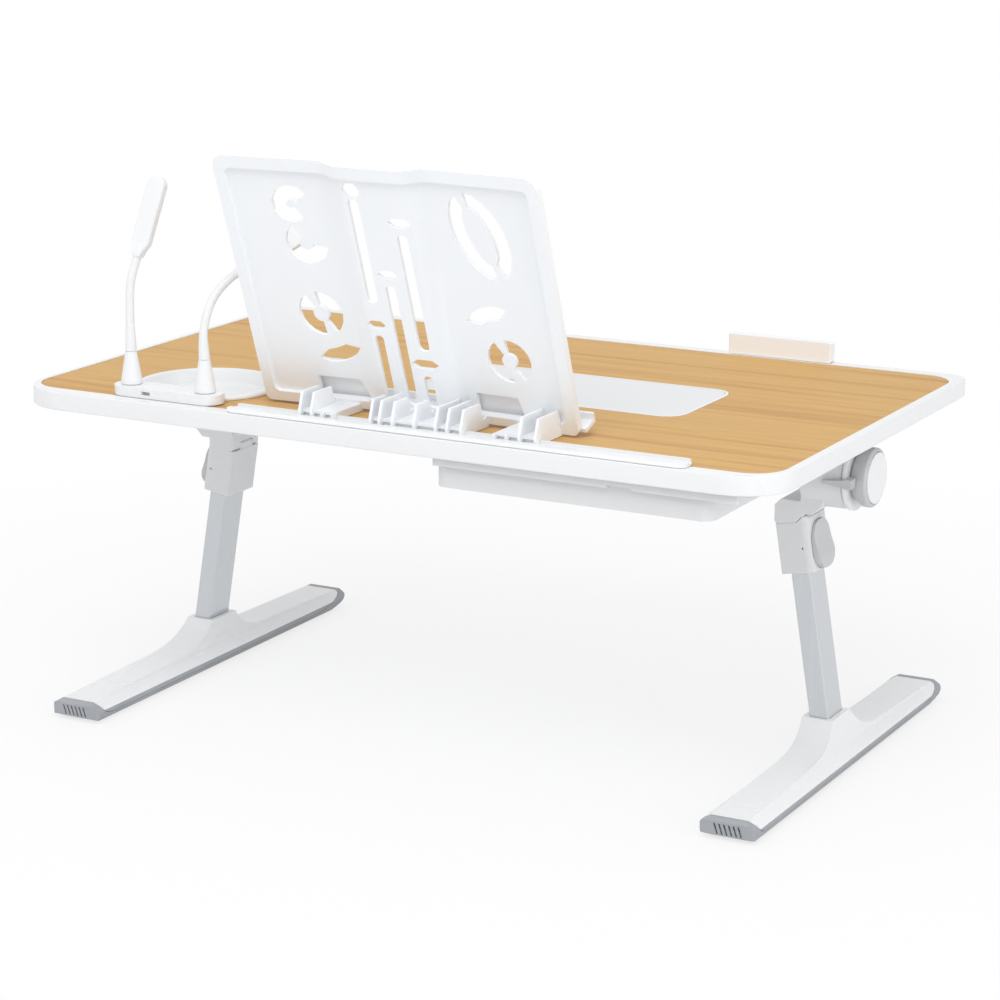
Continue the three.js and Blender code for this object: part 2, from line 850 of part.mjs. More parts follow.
function clampKnob() {
  const back = seatGap;
  const front = seatGap + hub.knobLength;
  const ring = turnedX([
    [boreRadius, back],
    [hub.knobBackRadius, back],
    [hub.knobRadius, back + hub.knobSlope],
    [hub.knobRadius, front - hub.knobChamfer],
    [hub.knobRadius - hub.knobChamfer, front],
    [hub.capRadius + seatGap, front],
    [hub.capRadius + seatGap, capBack - seatGap],
    [boreRadius, capBack - seatGap],
    [boreRadius, back],
  ], roundSteps);
  const leverLow = hub.outerCheekRadius + 2 * seatGap;
  const leverHigh = leverLow + hub.leverThickness;
  const rootEnd = back + hub.leverRoot;
  const wing = polygonOutline([
    [-hub.leverReach, -hub.leverTipHalf],
    [rootEnd, -hub.leverRootHalf],
    [rootEnd, hub.leverRootHalf],
    [-hub.leverReach, hub.leverTipHalf],
  ]);
  const lug = boxOutline(
    hub.knobBackRadius - hub.leverThickness, -hub.leverRootHalf, leverHigh, hub.leverRootHalf);
  return union([ring, prismY(wing, leverLow, leverHigh), prismX(lug, back, rootEnd)]);
}

function knobCap() {
  const front = capBack + hub.capThickness;
  return turnedX([
    [0, capBack],
    [hub.capRadius, capBack],
    [hub.capRadius, front],
    [hub.capRadius * Math.SQRT1_2, front + hub.capDome * Math.SQRT1_2],
    [0, front + hub.capDome],
  ], roundSteps);
}

// Matrix from leg coordinates (zero at the sleeve's top centre) to hub coordinates
const legMatrix = new THREE.Matrix4().makeRotationY(-splay).setPosition(leg.topX, leg.offsetY, leg.topZ);
const halfSleeve = leg.sleeveWidth / 2;
const pinX = -halfSleeve + leg.pinInset;
const pinZ = leg.pinUp;
const knuckleRadius = leg.pinUp - 2 * seatGap;
const eyeRadius = leg.pinUp - seatGap;

// Sleeve top in (X, Z): level at the hinge side, stepping up to a latch lip at the outer side
function sleeveTopOutline(grow) {
  const far = halfSleeve + overrun;
  const stepStart = halfSleeve - leg.latchWidth - grow;
  return polygonOutline([
    [-far, -leg.sleeveDepth],
    [far, -leg.sleeveDepth],
    [far, leg.latchRise - leg.latchEase + grow - overrun],
    [halfSleeve + grow, leg.latchRise - leg.latchEase + grow],
    [halfSleeve - leg.latchEase, leg.latchRise + grow],
    [stepStart + leg.latchWidth - leg.latchTop, leg.latchRise + grow],
    [stepStart, grow],
    [-far, grow],
  ]);
}

function legHead() {
  const barrel = turnedX([
    [boreRadius, barrelInner],
    [hub.barrelRadius - hub.barrelChamfer, barrelInner],
    [hub.barrelRadius, barrelInner + hub.barrelChamfer],
    [hub.barrelRadius, barrelOuter - hub.barrelChamfer],
    [hub.barrelRadius - hub.barrelChamfer, barrelOuter],
    [boreRadius, barrelOuter],
    [boreRadius, barrelInner],
  ], roundSteps);
  const side = polygonOutline([
    [arm.innerX, arm.lowZ],
    [arm.blockOuterX, arm.lowZ],
    [arm.blockOuterX, arm.stepZ],
    [arm.throatX, arm.stepZ],
    [arm.shoulderX, arm.shoulderZ],
    [arm.shoulderX, -boreRadius],
    [barrelInner, -boreRadius],
    [barrelInner, arm.crownZ],
    [arm.crownX, arm.crownZ],
    [arm.innerX, arm.crownZ + arm.innerX - arm.crownX],
  ]);
  const limb = prismY(side, -arm.halfDepth, arm.halfDepth);
  const boreHole = rodX(boreRadius, barrelInner - overrun, overrun);
  const below = extruded(sleeveTopOutline(seatGap), 2 * leg.sleeveDepth, cornerSteps)
    .applyMatrix4(uprightY).translate(0, leg.sleeveDepth, 0).applyMatrix4(legMatrix);
  const notchHalf = leg.knuckleHalf + seatGap;
  const slopeStart = pinX + seatGap;
  const notchRise = (slopeStart + leg.sleeveWidth) * Math.tan(THREE.MathUtils.degToRad(leg.foldPastLevel));
  const notch = prismY(polygonOutline([
    [-leg.sleeveWidth, -eyeRadius],
    [pinX + eyeRadius, -eyeRadius],
    [pinX + eyeRadius, pinZ + eyeRadius],
    [slopeStart, pinZ + eyeRadius],
    [-leg.sleeveWidth, pinZ + eyeRadius + notchRise],
  ]), -notchHalf, notchHalf);
  const corner = prismY(
    boxOutline(-leg.sleeveWidth, -eyeRadius, pinX, pinZ), -leg.sleeveDepth, leg.sleeveDepth)
    .subtract(rodY(pinX, pinZ, eyeRadius, -leg.sleeveDepth, leg.sleeveDepth));
  const pinBore = rodY(pinX, pinZ, leg.pinBossHole, -leg.pinHalf - seatGap, leg.pinHalf + seatGap);
  const hingeCut = union([notch, corner, pinBore]);
  const block = limb.subtract(boreHole).subtract(solidFrom(below));
  return barrel.add(block).subtract(solidFrom(geometryFrom(hingeCut).applyMatrix4(legMatrix)));
}

function legSleeve() {
  const corners = [leg.sleeveCorner, leg.sleeveInnerCorner, leg.sleeveInnerCorner, leg.sleeveCorner];
  const column = prismZ(
    cornersOutline(0, 0, leg.sleeveWidth, leg.sleeveDepth, corners), -leg.sleeveLength, leg.latchRise);
  const ease = leg.sleeveFootEase;
  const halfY = leg.sleeveDepth / 2;
  const front = polygonOutline([
    [ease - halfY, -leg.sleeveLength],
    [halfY - ease, -leg.sleeveLength],
    [halfY, ease - leg.sleeveLength],
    [halfY, leg.latchRise],
    [-halfY, leg.latchRise],
    [-halfY, ease - leg.sleeveLength],
  ]);
  const outer = column.intersect(prismX(front, -halfSleeve, halfSleeve))
    .intersect(prismY(sleeveTopOutline(0), -halfY, halfY));
  const bore = prismZ(roundedOutline(0, 0, leg.tubeWidth + 2 * seatGap, leg.tubeDepth + 2 * seatGap,
    leg.tubeCorner + seatGap), -leg.sleeveLength - overrun, -leg.sleeveCap);
  const pocket = prismX(buttonOutline(seatGap), halfSleeve - button.pocketDepth, halfSleeve + overrun);
  const pinHole = rodY(leg.pinHoleX, -leg.pinHoleDrop, leg.lockHole,
    leg.tubeDepth / 2 - overrun, leg.sleeveDepth / 2 + overrun);
  const neck = boxOutline(pinX - knuckleRadius, -leg.sleeveCap / 2, pinX + knuckleRadius, pinZ);
  const knuckle = union([
    prismY(neck, -leg.knuckleHalf, leg.knuckleHalf),
    rodY(pinX, pinZ, knuckleRadius, -leg.knuckleHalf, leg.knuckleHalf),
  ]);
  const pinBore = rodY(pinX, pinZ, leg.pinBossHole, -leg.knuckleHalf - overrun, leg.knuckleHalf + overrun);
  return cutAll(outer.add(knuckle), [bore, pocket, pinHole, pinBore]);
}

function foldPin() {
  return rodY(pinX, pinZ, leg.pinRadius, -leg.pinHalf, leg.pinHalf);
}

// Release button in (Y, Z) of the leg, swelling towards its lower end
function buttonOutline(grow) {
  const centreZ = -button.topDrop - button.height / 2;
  return roundedOutline(0, centreZ, button.width + 2 * grow, button.height + 2 * grow, button.corner + grow);
}

function releaseButton() {
  const back = halfSleeve - button.pocketDepth + button.travel + seatGap;
  const face = halfSleeve + button.proud;
  const slab = solidFrom(
    easedSlab(buttonOutline(0), back, face + button.bulgeProud, button.edge).applyMatrix4(uprightX));
  const span = button.bulgeFullShare - button.bulgeStartShare;
  const side = [[back, -button.topDrop], [back, -button.topDrop - button.height]];
  for (let step = smallSteps; step >= 0; step -= 1) {
    const share = step / smallSteps;
    const climb = THREE.MathUtils.clamp((share - button.bulgeStartShare) / span, 0, 1);
    const swell = (1 - Math.cos(Math.PI * climb)) / 2;
    side.push([face + button.bulgeProud * swell, -button.topDrop - button.height * share]);
  }
  return slab.intersect(prismY(polygonOutline(side), -button.width, button.width));
}

const tubeTop = -leg.sleeveCap - seatGap;
const sleeveTopHeight = hubZ + leg.topZ;
const tubeBottom = -(sleeveTopHeight - leg.tubeEndHeight) / Math.cos(splay);

function legTube() {
  const outer = prismZ(
    roundedOutline(0, 0, leg.tubeWidth, leg.tubeDepth, leg.tubeCorner), tubeBottom, tubeTop);
  const inner = roundedOutline(0, 0, leg.tubeWidth - 2 * leg.tubeWall,
    leg.tubeDepth - 2 * leg.tubeWall, leg.tubeCorner - leg.tubeWall);
  return outer.subtract(prismZ(inner, tubeBottom - overrun, tubeTop + overrun));
}

// Foot, about a point on the floor under its middle
const legRun = Math.tan(splay);
const axisXAt = (height) => leg.topX + (sleeveTopHeight - height) * legRun;
const footX = axisXAt(foot.socketTop) + foot.axisOffset;

function footBody() {
  const side = new THREE.Shape();
  side.moveTo(foot.rearPadEnd, 0);
  side.lineTo(foot.rear, foot.rearToeHeight);
  side.lineTo(foot.rear, foot.endTop - foot.rearLipEase);
  side.lineTo(foot.rear - foot.rearLipEase, foot.endTop);
  side.lineTo(foot.humpRear, foot.bodyTop);
  side.quadraticCurveTo(foot.socketRear + foot.socketHalf, foot.bodyTop, foot.socketRear, foot.socketTop);
  side.lineTo(-foot.socketFront, foot.socketTop);
  side.quadraticCurveTo(-foot.socketFront - foot.socketHalf, foot.bodyTop, -foot.humpFront, foot.bodyTop);
  side.lineTo(-foot.front, foot.endTop);
  side.lineTo(-foot.front, foot.endTop - foot.frontEdge);
  for (const [run, height] of frontSweep) {
    side.lineTo(run - foot.front, height);
  }
  side.lineTo(-foot.frontPadStart, 0);
  side.lineTo(-foot.frontPadStart + foot.padSlope, foot.padRise);
  side.lineTo(foot.rearPadStart - foot.padSlope, foot.padRise);
  side.lineTo(foot.rearPadStart, 0);
  const neckX = axisXAt(foot.socketNeck) - footX;
  const mouthX = axisXAt(foot.socketTop) - footX;
  const lowSide = [
    [foot.halfBottom, 0],
    [foot.halfWidth - foot.edgeEase, foot.edgeEase],
    [foot.halfWidth, foot.bottomEase],
    [foot.halfWidth, foot.widestHeight],
    [foot.bevelHalf, foot.bevelHeight],
    [foot.halfTop, foot.endTop],
  ];
  const across = polygonOutline([
    ...lowSide,
    [neckX + foot.socketHalf + foot.socketFlare, foot.socketNeck],
    [mouthX + foot.socketHalf, foot.socketTop],
    [mouthX - foot.socketHalf, foot.socketTop],
    [neckX - foot.socketHalf - foot.socketFlare, foot.socketNeck],
    ...lowSide.map(([x, z]) => [-x, z]).reverse(),
  ]);
  const plan = roundedOutline(
    0, (foot.rear - foot.front) / 2, 2 * foot.halfWidth, foot.rear + foot.front, foot.planCorner);
  return prismX(side, -foot.halfWidth, foot.halfWidth, smallSteps / 2)
    .intersect(prismY(across, -foot.front, foot.rear))
    .intersect(prismZ(plan, 0, foot.socketTop));
}

// The region of the sole: a band along the bottom that climbs over both ends
function soleRegion(grow) {
  const capTop = foot.endTop + overrun;
  const rearEdge = rearSoleEdge.map(([run, height]) => [foot.rear - run - grow, height + grow]);
  const frontEdge = frontSoleEdge.map(([run, height]) => [run - foot.front + grow, height + grow]);
  return polygonOutline([
    [-foot.front - overrun, -overrun],
    [foot.rear + overrun, -overrun],
    [foot.rear + overrun, capTop],
    [foot.rear - foot.rearLip - grow, capTop],
    ...rearEdge,
    ...frontEdge.reverse(),
    [-foot.front + foot.frontLip + grow, capTop],
    [-foot.front - overrun, capTop],
  ]);
}

// Grip slots lean the same way on both feet, so the mirrored foot gets them turned
function gripSlots(side) {
  const first = (-(gripSlot.count - 1) * gripSlot.pitch) / 2;
  const slots = [];
  for (let index = 0; index < gripSlot.count; index += 1) {
    const high = first + index * gripSlot.pitch + (side * gripSlot.slant) / 2;
    const low = high - side * gripSlot.slant;
    const cut = polygonOutline([
      [low, gripSlot.low],
      [low + gripSlot.width, gripSlot.low],
      [high + gripSlot.width, gripSlot.high],
      [high, gripSlot.high],
    ]);
    slots.push(prismY(cut, foot.rear - gripSlot.depth, foot.rear + overrun));
  }
  return slots;
}

function footSole(side) {
  const band = footBody().intersect(prismX(soleRegion(0), -foot.halfWidth, foot.halfWidth));
  return cutAll(band, gripSlots(side));
}

function footShell() {
  const wide = foot.halfWidth + overrun;
  const upper = footBody().subtract(prismX(soleRegion(seatGap), -wide, wide));
  const bore = roundedOutline(0, 0, leg.tubeWidth + 2 * seatGap, leg.tubeDepth + 2 * seatGap,
    leg.tubeCorner + seatGap);
  const toFoot = new THREE.Matrix4().makeTranslation(-footX, 0, hubZ)
    .multiply(new THREE.Matrix4().makeTranslation(0, -leg.offsetY, 0)).multiply(legMatrix);
  const cutter = extruded(bore, -tubeBottom + seatGap, cornerSteps)
    .translate(0, 0, tubeBottom - seatGap).applyMatrix4(toFoot);
  return upper.subtract(solidFrom(cutter));
}

// Reading lamp: plug and cone, neck along its bend, head with its lens
function lampCurve(bend) {
  const heading = THREE.MathUtils.degToRad(lamp.headingDegrees);
  const start = lamp.collarHeight + lamp.coneHeight + 2 * seatGap;
  const points = bend.pathShares.map(([outShare, upShare]) => new THREE.Vector3(
    bend.reach * outShare * Math.cos(heading),
    bend.reach * outShare * Math.sin(heading),
    start + bend.height * upShare));
  return new THREE.CatmullRomCurve3(points, false, 'centripetal');
}

function lampPlug() {
  const low = seatGap;
  const collarTop = low + lamp.collarHeight;
  return solidFrom(turnedZ([
    [0, -lamp.plugLength],
    [lamp.plugRadius, -lamp.plugLength],
    [lamp.plugRadius, low],
    [lamp.collarRadius, low],
    [lamp.collarRadius, collarTop],
    [lamp.neckRadius, collarTop + lamp.coneHeight],
    [0, collarTop + lamp.coneHeight],
  ], smallSteps));
}

function lampNeck(curve) {
  const section = circleOutline(0, 0, lamp.neckRadius);
  return solidFrom(new THREE.ExtrudeGeometry(section, {
    steps: lamp.neckSteps, extrudePath: curve, curveSegments: smallSteps / 4,
  }));
}

function lampHead() {
  const outline = roundedOutline(
    0, lamp.headLength / 2, lamp.headWidth, lamp.headLength, lamp.headCorner);
  const body = solidFrom(easedSlab(outline, -lamp.headThickness / 2, lamp.headThickness / 2, lamp.headEdge));
  const recess = prismZ(lensOutline(seatGap), lamp.headThickness / 2 - lamp.lensDepth,
    lamp.headThickness / 2 + overrun);
  return body.subtract(recess);
}

function lensOutline(grow) {
  return roundedOutline(0, lamp.headLength / 2, lamp.lensWidth + 2 * grow, lamp.lensLength + 2 * grow,
    lamp.lensCorner + grow);
}

function lampLens() {
  return prismZ(lensOutline(0), lamp.headThickness / 2 - lamp.lensDepth + seatGap, lamp.headThickness / 2);
}

// Head axes: length along the neck's end, lens turned towards the book
function headFrame(curve) {
  const along = curve.getTangent(1).normalize();
  const across = new THREE.Vector3().crossVectors(along, new THREE.Vector3(0, -1, 0)).normalize();
  const lensWay = new THREE.Vector3().crossVectors(across, along).normalize();
  const place = new THREE.Matrix4().makeBasis(across, along, lensWay);
  const seat = curve.getPoint(1).addScaledVector(along, seatGap);
  return place.setPosition(seat);
}

// Book stand, in plate coordinates: X across, Y out of the rear face, Z up the slope
function bookCurve(offset) {
  const half = stand.width / 2;
  return [
    [-half, offset],
    [-stand.wingEdge, offset - stand.wingDip],
    [-stand.spineEdge, offset + stand.spineRise],
    [stand.spineEdge, offset + stand.spineRise],
    [stand.wingEdge, offset - stand.wingDip],
    [half, offset],
  ];
}

function bookLayer(low, high, bottom, top) {
  const outline = polygonOutline([...bookCurve(low), ...bookCurve(high).reverse()]);
  return prismZ(outline, bottom, top);
}

const plateDepth = stand.spineRise + stand.wingDip + stand.thickness + overrun;

function throughPlate(outline, steps = cornerSteps) {
  return prismY(outline, -plateDepth, plateDepth, steps);
}

function standPlate() {
  const half = stand.width / 2;
  const face = new THREE.Shape();
  face.absarc(half - stand.topCorner, stand.top - stand.topCorner, stand.topCorner, 0, Math.PI / 2, false);
  face.absarc(
    stand.topCorner - half, stand.top - stand.topCorner, stand.topCorner, Math.PI / 2, Math.PI, false);
  face.absarc(stand.bottomCorner - half, plateBottom + stand.bottomCorner, stand.bottomCorner,
    Math.PI, 1.5 * Math.PI, false);
  face.absarc(half - stand.bottomCorner, plateBottom + stand.bottomCorner, stand.bottomCorner,
    1.5 * Math.PI, 2 * Math.PI, false);
  const slab = bookLayer(-stand.thickness, 0, plateBottom, stand.top).intersect(throughPlate(face));
  const innerLow = plateBottom + stand.bottomRim;
  const innerTop = stand.top - stand.topRim;
  const inner = roundedOutline(0, (innerLow + innerTop) / 2, stand.width - 2 * stand.sideRim,
    innerTop - innerLow, stand.innerCorner);
  const hollow = bookLayer(stand.sheet - stand.thickness, overrun, innerLow, innerTop);
  return slab.subtract(hollow.intersect(throughPlate(inner)));
}

function arcBand(band, stroke) {
  const from = THREE.MathUtils.degToRad(band.from);
  const to = THREE.MathUtils.degToRad(band.to);
  const leanTurn = THREE.MathUtils.degToRad(numeralLean);
  const outline = new THREE.Shape();
  outline.absellipse(0, 0, band.rx, band.ry, from, to, false, 0);
  outline.absellipse(0, 0, band.rx - stroke, band.ry - stroke, to, from, true, 0);
  const points = outline.getPoints(smallSteps / 4).map(
    (point) => point.rotateAround(new THREE.Vector2(), -leanTurn).add(new THREE.Vector2(band.x, band.t)));
  return throughPlate(new THREE.Shape(points));
}

function pinSlot(slot) {
  const shaft = roundedOutline(slot.x, (slot.low + slot.high) / 2, slot.width, slot.high - slot.low,
    slot.width / 2 - seatGap);
  const head = new THREE.Shape().absellipse(
    slot.x, slot.headAt, slot.headWidth / 2, slot.headHeight / 2, 0, 2 * Math.PI, false, 0);
  return [throughPlate(shaft, softCornerSteps), throughPlate(head, cornerSteps)];
}

function windowCut(opening) {
  return throughPlate(polygonOutline([
    [opening.outer, opening.bottom],
    [opening.outer, opening.top],
    [opening.innerTop, opening.top],
    [opening.innerBottom, opening.bottom],
  ].reverse()));
}

// World height above the wood and distance behind the plate's foot, in plate coordinates
function inPlate([back, up]) {
  return [back * Math.cos(lean) - up * Math.sin(lean), back * Math.sin(lean) + up * Math.cos(lean)];
}

const ridgeTop = topSeat + rail.ridgeRise - table.woodHeight;
const slotFar = railSlotFar - standPlane;
const slotFloorUp = topSeat + rail.baseThickness - table.woodHeight;

function standRib(x, height) {
  const low = x - stand.ribThickness / 2;
  const high = x + stand.ribThickness / 2;
  const root = -stand.ribRoot;
  const beforeRidge = slotFar - rail.ridgeWidth - seatGap;
  const toeFront = slotFar + seatGap;
  const toeRear = toeFront + stand.toeThickness;
  const side = [
    [root, 2 * seatGap],
    [beforeRidge, 2 * seatGap],
    [beforeRidge, ridgeTop + seatGap],
    [toeFront, ridgeTop + seatGap],
    [toeFront, slotFloorUp + seatGap],
    [toeRear, slotFloorUp + seatGap],
    [toeRear, stand.shelfHeight],
    [stand.ribRear, Math.max(height, stand.shelfHeight)],
    [root + height * Math.tan(lean), Math.max(height, stand.shelfHeight)],
  ];
  return prismX(polygonOutline(side.map(inPlate)), low, high);
}

function standFoot(group) {
  const all = [...group.tall, ...group.low];
  const low = Math.min(...all) - stand.ribThickness / 2;
  const high = Math.max(...all) + stand.ribThickness / 2;
  const shelfLow = stand.shelfHeight - stand.shelfThickness;
  const shelf = polygonOutline([
    [-stand.ribRoot, shelfLow],
    [stand.shelfRear, shelfLow],
    [stand.shelfRear, stand.shelfHeight],
    [-stand.ribRoot, stand.shelfHeight],
  ].map(inPlate));
  return union([
    prismX(shelf, low, high),
    ...group.tall.map((x) => standRib(x, stand.ribHeight)),
    ...group.low.map((x) => standRib(x, 0)),
  ]);
}

// Ledge on the reader's side, with ears for the two page clips
const clipPinY = -stand.thickness - clip.pinFromPlate;
const clipPinZ = plateBottom + clip.pinHeight;

function standLedge() {
  const half = stand.width / 2 + stand.ledgeOverhang;
  const front = -stand.thickness - stand.ledgeDepth;
  const back = -stand.thickness + stand.sheet - stand.wingDip;
  const ledge = polygonOutline([
    [front, plateBottom],
    [back, plateBottom],
    [back, plateBottom + stand.ledgeThickness],
    [front + stand.lipThickness, plateBottom + stand.ledgeThickness],
    [front + stand.lipThickness, plateBottom + stand.ledgeThickness + stand.lipHeight],
    [front, plateBottom + stand.ledgeThickness + stand.lipHeight],
  ]);
  const bar = prismX(ledge, -half, half);
  const gaps = [-1, 1].map((side) => {
    const reach = clip.width / 2 + clip.earThickness + 2 * clip.sideGap;
    const band = boxOutline(side * clip.centre - reach, front - overrun, side * clip.centre + reach,
      front + stand.lipThickness);
    return prismZ(band, plateBottom + stand.ledgeThickness, plateBottom + stand.ledgeThickness
      + stand.lipHeight + overrun);
  });
  const ears = [-1, 1].flatMap((side) => [-1, 1].map((end) => {
    const inner = side * clip.centre + end * (clip.width / 2 + clip.sideGap);
    const outer = inner + end * clip.earThickness;
    const low = Math.min(inner, outer);
    const high = Math.max(inner, outer);
    const post = boxOutline(clipPinY - clip.knuckle, plateBottom, clipPinY + clip.knuckle, clipPinZ);
    return union([
      prismX(post, low, high),
      prismX(circleOutline(clipPinY, clipPinZ, clip.knuckle), low, high, smallSteps / 4),
    ]);
  }));
  const bores = [-1, 1].map((side) => {
    const reach = clip.width / 2 + clip.earThickness + clip.sideGap + seatGap;
    return prismX(circleOutline(clipPinY, clipPinZ, clip.bore), side * clip.centre - reach,
      side * clip.centre + reach, smallSteps / 4);
  });
  return cutAll(union([cutAll(bar, gaps), ...ears]), bores);
}

function bookStand() {
  const plate = standPlate();
  const whole = union([plate, standLedge(), ...standFeet.map(standFoot)]);
  const cuts = [
    ...numerals.flat().map((band) => arcBand(band, strokeWidth)),
    ...pinSlots.flatMap(pinSlot),
    ...windows.map(windowCut),
  ];
  const cutter = union(cuts);
  const shelfZone = bookLayer(-stand.thickness - seatGap, overrun, plateBottom, stand.top);
  return whole.subtract(cutter.intersect(shelfZone));
}

function pageClip() {
  const halfWidth = clip.width / 2;
  const back = -stand.thickness - clip.pageGap;
  const front = back - clip.thickness;
  const low = clipPinZ - clip.knuckle;
  const top = plateBottom + stand.ledgeThickness + clip.height;
  const outline = roundedOutline(0, (low + top) / 2, clip.width, top - low, clip.corner);
  const slab = prismY(outline, front, back);
  const arms = boxOutline(clipPinY, clipPinZ - clip.knuckle, back, clipPinZ + clip.knuckle);
  const knuckle = union([
    prismX(circleOutline(clipPinY, clipPinZ, clip.knuckle), -halfWidth, halfWidth, smallSteps / 4),
    prismX(arms, -halfWidth, halfWidth),
  ]);
  const bore = prismX(circleOutline(clipPinY, clipPinZ, clip.bore), -halfWidth - overrun,
    halfWidth + overrun, smallSteps / 4);
  return slab.add(knuckle).subtract(bore);
}

function clipPin() {
  const reach = clip.width / 2 + clip.sideGap + clip.earThickness;
  return prismX(circleOutline(clipPinY, clipPinZ, clip.pinRadius), -reach, reach, smallSteps / 4);
}

// Assembly
const tableGroup = new THREE.Group();
addPiece(tableGroup, 'table_frame', tableFrame(), paints.whiteGloss());
addPiece(tableGroup, 'wood_panel', woodPanel(), paints.oak());
addPiece(tableGroup, 'pad_trim', padTrim(), paints.whiteGloss());
addPiece(tableGroup, 'centre_pad', centrePad(), paints.paleGrey());
addPiece(tableGroup, 'cup_tray', cupTray(), paints.whiteGloss());
addPiece(tableGroup, 'lamp_block', lampBlock(), paints.whiteGloss());
addPiece(tableGroup, 'stand_rail', standRail(), paints.whiteGloss());
addPiece(tableGroup, 'drawer_runner_rear', drawerRunner(1, true), paints.legGrey());
addPiece(tableGroup, 'drawer_runner_front', drawerRunner(-1, false), paints.legGrey());
addPiece(tableGroup, 'drawer', drawerBox(), paints.whiteGloss());
addPiece(tableGroup, 'stop_bar', stopBar(), paints.whiteGloss());

function addLeg(side, label) {
  const hubGroup = new THREE.Group();
  hubGroup.position.set(side * hubX, hub.offsetY, hubZ);
  addPiece(hubGroup, `hub_bracket_${label}`, hubBracket(), paints.whiteGloss(), side);
  addPiece(hubGroup, `clamp_bolt_${label}`, clampBolt(), paints.steel(), side);
  addPiece(hubGroup, `clamp_knob_${label}`, clampKnob(), paints.darkGrey(), side);
  addPiece(hubGroup, `knob_cap_${label}`, knobCap(), paints.whiteGloss(), side);
  addPiece(hubGroup, `leg_head_${label}`, legHead(), paints.legGrey(), side);
  const legGroup = new THREE.Group();
  legGroup.position.set(side * leg.topX, leg.offsetY, leg.topZ);
  legGroup.rotation.y = -side * splay;
  addPiece(legGroup, `fold_pin_${label}`, foldPin(), paints.steel(), side);
  addPiece(legGroup, `leg_sleeve_${label}`, legSleeve(), paints.legGrey(), side);
  addPiece(legGroup, `release_button_${label}`, releaseButton(), paints.legGrey(), side);
  addPiece(legGroup, `leg_tube_${label}`, legTube(), paints.anodised(), side);
  hubGroup.add(legGroup);
  const footGroup = new THREE.Group();
  footGroup.position.set(side * footX, leg.offsetY, -hubZ);
  addPiece(footGroup, `foot_shell_${label}`, footShell(), paints.whiteGloss(), side);
  addPiece(footGroup, `foot_sole_${label}`, footSole(side), paints.soleGrey(), side);
  hubGroup.add(footGroup);
  tableGroup.add(hubGroup);
}
addLeg(1, 'a');
addLeg(-1, 'b');

lampBends.forEach((bend, index) => {
  const lampGroup = new THREE.Group();
  lampGroup.position.set(socketPlaces()[index], blockCentreY, blockTop);
  const curve = lampCurve(bend);
  addPiece(lampGroup, `lamp_plug_${bend.name}`, lampPlug(), paints.silicone());
  addPiece(lampGroup, `lamp_neck_${bend.name}`, lampNeck(curve), paints.silicone());
  const headGroup = new THREE.Group();
  headGroup.applyMatrix4(headFrame(curve));
  addPiece(headGroup, `lamp_head_${bend.name}`, lampHead(), paints.silicone());
  addPiece(headGroup, `lamp_lens_${bend.name}`, lampLens(), paints.lens());
  lampGroup.add(headGroup);
  tableGroup.add(lampGroup);
});

const standGroup = new THREE.Group();
standGroup.position.set(standX, standPlane, table.woodHeight);
standGroup.rotation.x = -lean;
addPiece(standGroup, 'book_stand', bookStand(), paints.whiteGloss());
[[1, 'a'], [-1, 'b']].forEach(([side, label]) => {
  const clipGroup = new THREE.Group();
  clipGroup.position.x = side * clip.centre;
  addPiece(clipGroup, `page_clip_${label}`, pageClip(), paints.whiteGloss());
  addPiece(clipGroup, `clip_pin_${label}`, clipPin(), paints.steel());
  standGroup.add(clipGroup);
});
tableGroup.add(standGroup);

// Origin on the floor under the middle of the whole table
const bounds = new THREE.Box3().setFromObject(tableGroup, true);
const centre = bounds.getCenter(new THREE.Vector3());
tableGroup.position.set(-centre.x, -centre.y, -bounds.min.z);
tableGroup.updateMatrixWorld(true);

export default tableGroup;
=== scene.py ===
import json
import math

import bpy
import numpy
from mathutils import Matrix, Vector


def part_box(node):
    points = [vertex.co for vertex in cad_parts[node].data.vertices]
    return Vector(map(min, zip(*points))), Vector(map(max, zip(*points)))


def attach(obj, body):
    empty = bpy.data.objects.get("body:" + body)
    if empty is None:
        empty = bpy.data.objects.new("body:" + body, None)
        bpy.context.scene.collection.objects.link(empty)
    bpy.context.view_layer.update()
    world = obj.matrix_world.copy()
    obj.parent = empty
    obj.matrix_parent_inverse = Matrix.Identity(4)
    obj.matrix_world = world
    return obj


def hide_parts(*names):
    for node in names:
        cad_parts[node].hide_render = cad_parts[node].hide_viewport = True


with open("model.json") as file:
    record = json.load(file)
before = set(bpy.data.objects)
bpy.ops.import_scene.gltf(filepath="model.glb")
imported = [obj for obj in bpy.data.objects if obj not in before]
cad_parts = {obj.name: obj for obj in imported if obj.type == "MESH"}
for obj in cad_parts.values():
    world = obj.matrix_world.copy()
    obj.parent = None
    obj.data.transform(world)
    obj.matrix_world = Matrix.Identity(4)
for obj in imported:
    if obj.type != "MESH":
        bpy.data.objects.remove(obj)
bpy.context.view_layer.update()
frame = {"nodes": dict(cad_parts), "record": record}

bodyOf = {node: body for body, nodes in frame["record"]["behaviour"]["bodies"].items() for node in nodes}
slotOf = {row["node"]: row["material_slot"] for row in frame["record"]["subparts"]}
mm = 0.001

# Middle of the wood surface: the camera and the softboxes' aim are placed from it
woodLow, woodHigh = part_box("wood_panel")
topCentre = Vector(((woodLow.x + woodHigh.x) / 2, (woodLow.y + woodHigh.y) / 2, 0))


# Camera, as the photograph was taken
cameraSettings = {
    "fromTopCentre": Vector((-1.0886, 2.0383, 0.7639)),
    "right": Vector((-0.8824, -0.4704, 0.0026)),
    "up": Vector((0.1182, -0.2163, 0.9691)),
    "lens": 108.47,
    "sensor": 36.0,
    "nearClip": 0.05,
    "farClip": 60,
}


